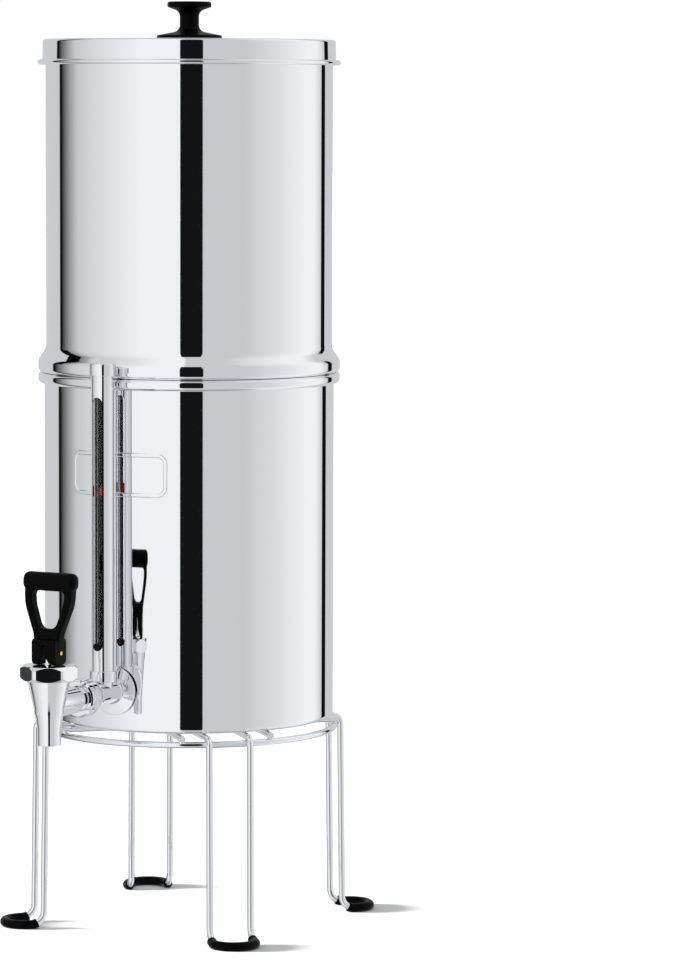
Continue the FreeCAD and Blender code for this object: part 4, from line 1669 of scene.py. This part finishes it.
@dataclass(frozen=True)
class Lamp:
    """Distant soft lamp, placed round from the camera to the right and above level."""

    name: str
    strength: float
    turn_deg: float
    height_deg: float
    size_deg: float

    def hang(self, camera_azimuth_deg: float) -> Thing:
        """Put the lamp into the scene.

        Args:
            camera_azimuth_deg: where the camera stands.

        Returns:
            The lamp.
        """
        data = bpy.data.lights.new(self.name, "SUN")
        data.energy = self.strength
        data.angle = math.radians(self.size_deg)
        thing = bpy.data.objects.new(self.name, data)
        bpy.context.scene.collection.objects.link(thing)
        turn = math.radians(camera_azimuth_deg + self.turn_deg)
        height = math.radians(self.height_deg)
        across = math.cos(height)
        to_lamp = Vector((math.sin(turn) * across, -math.cos(turn) * across, math.sin(height)))
        thing.matrix_world = to_lamp.to_track_quat("Z", "Y").to_matrix().to_4x4()
        thing.visible_glossy = False
        return thing


@dataclass
class Studio:
    """Pale floor, soft light and the camera at the photograph's place.

    The walls are a pale tent with a tall black card beside the camera and two narrow ones
    near the object's sides, so that the polished steel shows dark upright bands. The tones
    give each wall's angle round from the camera and its colour, and the cards stand in front.
    """

    camera_azimuth_deg: float = 30.0
    camera_distance: float = 3.3598
    camera_height: float = 0.6246
    pitch_deg: float = 4.921
    yaw_deg: float = 1.943
    roll_deg: float = 0.187
    lens_mm: float = 166.7
    floor_half: float = 30.0
    floor_colour: str = "#FBFBFB"
    diffuse_level: float = 0.55
    key_lamp: Lamp = Lamp("key_light", 0.8, -60.0, 50.0, 30.0)
    floor_lamp: Lamp = Lamp("floor_light", 16.2, -90.0, 9.0, 12.0)
    tones: tuple[tuple[float, str], ...] = (
        (-180, WALL),
        (-128, WALL),
        (-127, BLACK_CARD),
        (-124, BLACK_CARD),
        (-100, WALL),
        (-40, SOFT_BOX),
        (-7, SOFT_BOX),
        (-4, WALL),
        (45, WALL),
        (105, SOFT_BOX),
        (120, SOFT_BOX),
        (132, WALL),
        (180, WALL),
    )
    cards: tuple[Card, ...] = (
        Card(-127.5, -115.5, 9, 42, "#050506", 0.4, 2),
        Card(-136, -96, 43, 74, "#D6D7DA", 3, 2),
        Card(-7.25, 10.6, -30, 46, "#141417", 0.2, 2),
        Card(132.2, 140.4, -14, 20, "#0E0E10", 0.5, 3),
        Card(-180, 180, 76, 90, "#6E6F72", 0, 4),
        Card(-180, 180, -90, -63, "#A3A4A7", 0, 4),
    )

    def camera(self) -> None:
        """Stand the camera where the photograph was taken from."""
        azimuth = math.radians(self.camera_azimuth_deg)
        away = Vector((-math.sin(azimuth), math.cos(azimuth), 0.0))
        right = Vector((math.cos(azimuth), math.sin(azimuth), 0.0))
        yaw = math.radians(self.yaw_deg)
        pitch = math.radians(self.pitch_deg)
        roll = math.radians(self.roll_deg)
        level = right * math.sin(yaw) + away * math.cos(yaw)
        side = right * math.cos(yaw) - away * math.sin(yaw)
        ahead = level * math.cos(pitch) - Vector((0.0, 0.0, math.sin(pitch)))
        above = level * math.sin(pitch) + Vector((0.0, 0.0, math.cos(pitch)))
        rolled_side = side * math.cos(roll) + above * math.sin(roll)
        rolled_above = above * math.cos(roll) - side * math.sin(roll)
        data = bpy.data.cameras.new("camera")
        data.lens = self.lens_mm
        data.clip_end = 200.0
        thing = bpy.data.objects.new("camera", data)
        bpy.context.scene.collection.objects.link(thing)
        turn = Matrix((rolled_side, rolled_above, -ahead)).transposed().to_4x4()
        stand = -away * self.camera_distance + Vector((0.0, 0.0, self.camera_height))
        thing.matrix_world = Matrix.Translation(stand) @ turn
        bpy.context.scene.camera = thing

    def floor(self) -> Thing:
        """White floor; metal shows the studio's walls instead of it.

        Returns:
            The floor.
        """
        half = self.floor_half / MM
        corners = [Vector((x, y, 0)) for x, y in ((-half, -half), (half, -half), (half, half), (-half, half))]
        thing = Shape().cap(corners).piece("floor")
        paint = Finish("matt_white_floor_paint", self.floor_colour, 0.0, 0.9, 0.0)
        thing.data.materials.append(paint.material())
        thing.visible_glossy = False
        return thing

    def walls(self) -> None:
        """Background: white for the camera and glass, the tent's tones for metal."""
        world = bpy.data.worlds.new("studio")
        bpy.context.scene.world = world
        world.use_nodes = True
        tree = world.node_tree
        tree.nodes.clear()
        direction = add_node(tree, "ShaderNodeTexCoord").outputs["Generated"]
        facing = add_node(tree, "ShaderNodeVectorRotate", {
            "Angle": math.radians(-self.camera_azimuth_deg),
        }, {"Vector": direction}, rotation_type="Z_AXIS")
        parts = add_node(tree, "ShaderNodeSeparateXYZ", links={"Vector": facing.outputs["Vector"]})
        ahead = add_node(tree, "ShaderNodeMath", {1: -1.0}, {0: parts.outputs["Y"]}, operation="MULTIPLY")
        links = {0: parts.outputs["X"], 1: ahead.outputs["Value"]}
        angle = add_node(tree, "ShaderNodeMath", links=links, operation="ARCTAN2")
        share = add_node(tree, "ShaderNodeMapRange", {
            "From Min": -math.pi,
            "From Max": math.pi,
        }, {"Value": angle.outputs["Value"]})
        ramp = add_node(tree, "ShaderNodeValToRGB", links={"Fac": share.outputs["Result"]})
        stops = ramp.color_ramp.elements
        for angle_deg, colour in self.tones[1:-1]:
            stops.new((angle_deg + 180) / 360)
        for stop, (angle_deg, colour) in zip(stops, self.tones):
            stop.position = (angle_deg + 180) / 360
            stop.color = linear(colour)
        tent = ramp.outputs["Color"]
        for card in self.cards:
            tent = card.cover(tree, angle.outputs["Value"], parts.outputs["Z"], tent)
        path = add_node(tree, "ShaderNodeLightPath")
        seen = add_node(tree, "ShaderNodeMath", links={
            0: path.outputs["Is Camera Ray"],
            1: path.outputs["Is Transmission Ray"],
        }, operation="MAXIMUM")
        grey = (self.diffuse_level,) * 3 + (1.0,)
        tent_or_grey = add_node(tree, "ShaderNodeMix", {"A": grey}, {
            "Factor": path.outputs["Is Glossy Ray"],
            "B": tent,
        }, data_type="RGBA")
        final = add_node(tree, "ShaderNodeMix", {"B": (1.0, 1.0, 1.0, 1.0)}, {
            "Factor": seen.outputs["Value"],
            "A": tent_or_grey.outputs["Result"],
        }, data_type="RGBA")
        light = add_node(tree, "ShaderNodeBackground", {"Strength": 1.0}, {"Color": final.outputs["Result"]})
        add_node(tree, "ShaderNodeOutputWorld", links={"Surface": light.outputs["Background"]})

    def build(self, feet: Sequence[Thing]) -> None:
        """Set up the floor, the walls, the lamps and the camera.

        Args:
            feet: the pieces whose shadows lie on the floor.
        """
        bpy.context.scene.view_settings.view_transform = "Standard"
        self.camera()
        floor = self.floor()
        self.walls()
        key = self.key_lamp.hang(self.camera_azimuth_deg)
        off_floor = bpy.data.collections.new("not_lit_by_key_light")
        off_floor.objects.link(floor)
        off_floor.collection_objects[0].light_linking.link_state = "EXCLUDE"
        key.light_linking.receiver_collection = off_floor
        low = self.floor_lamp.hang(self.camera_azimuth_deg)
        lit = bpy.data.collections.new("lit_by_floor_light")
        lit.objects.link(floor)
        low.light_linking.receiver_collection = lit
        blockers = bpy.data.collections.new("shaded_from_floor_light")
        for foot in feet:
            blockers.objects.link(foot)
        low.light_linking.blocker_collection = blockers


def main() -> None:
    """Build every sub-assembly in order and report it."""
    logging.basicConfig(level=logging.INFO, format="%(name)s: %(message)s")
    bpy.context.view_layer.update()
    stand = Stand()
    parts = [
        stand,
        LowerChamber(),
        UpperChamber(),
        FilterElement("1"),
        FilterElement("2"),
        Lid(),
        Outlet(),
        SightGauge(),
        Tap(),
    ]
    for part in parts:
        part.build()
        LOG.info("built %s", type(part).__name__)
    Studio().build(stand.feet)


if __name__ == "__main__":
    main()
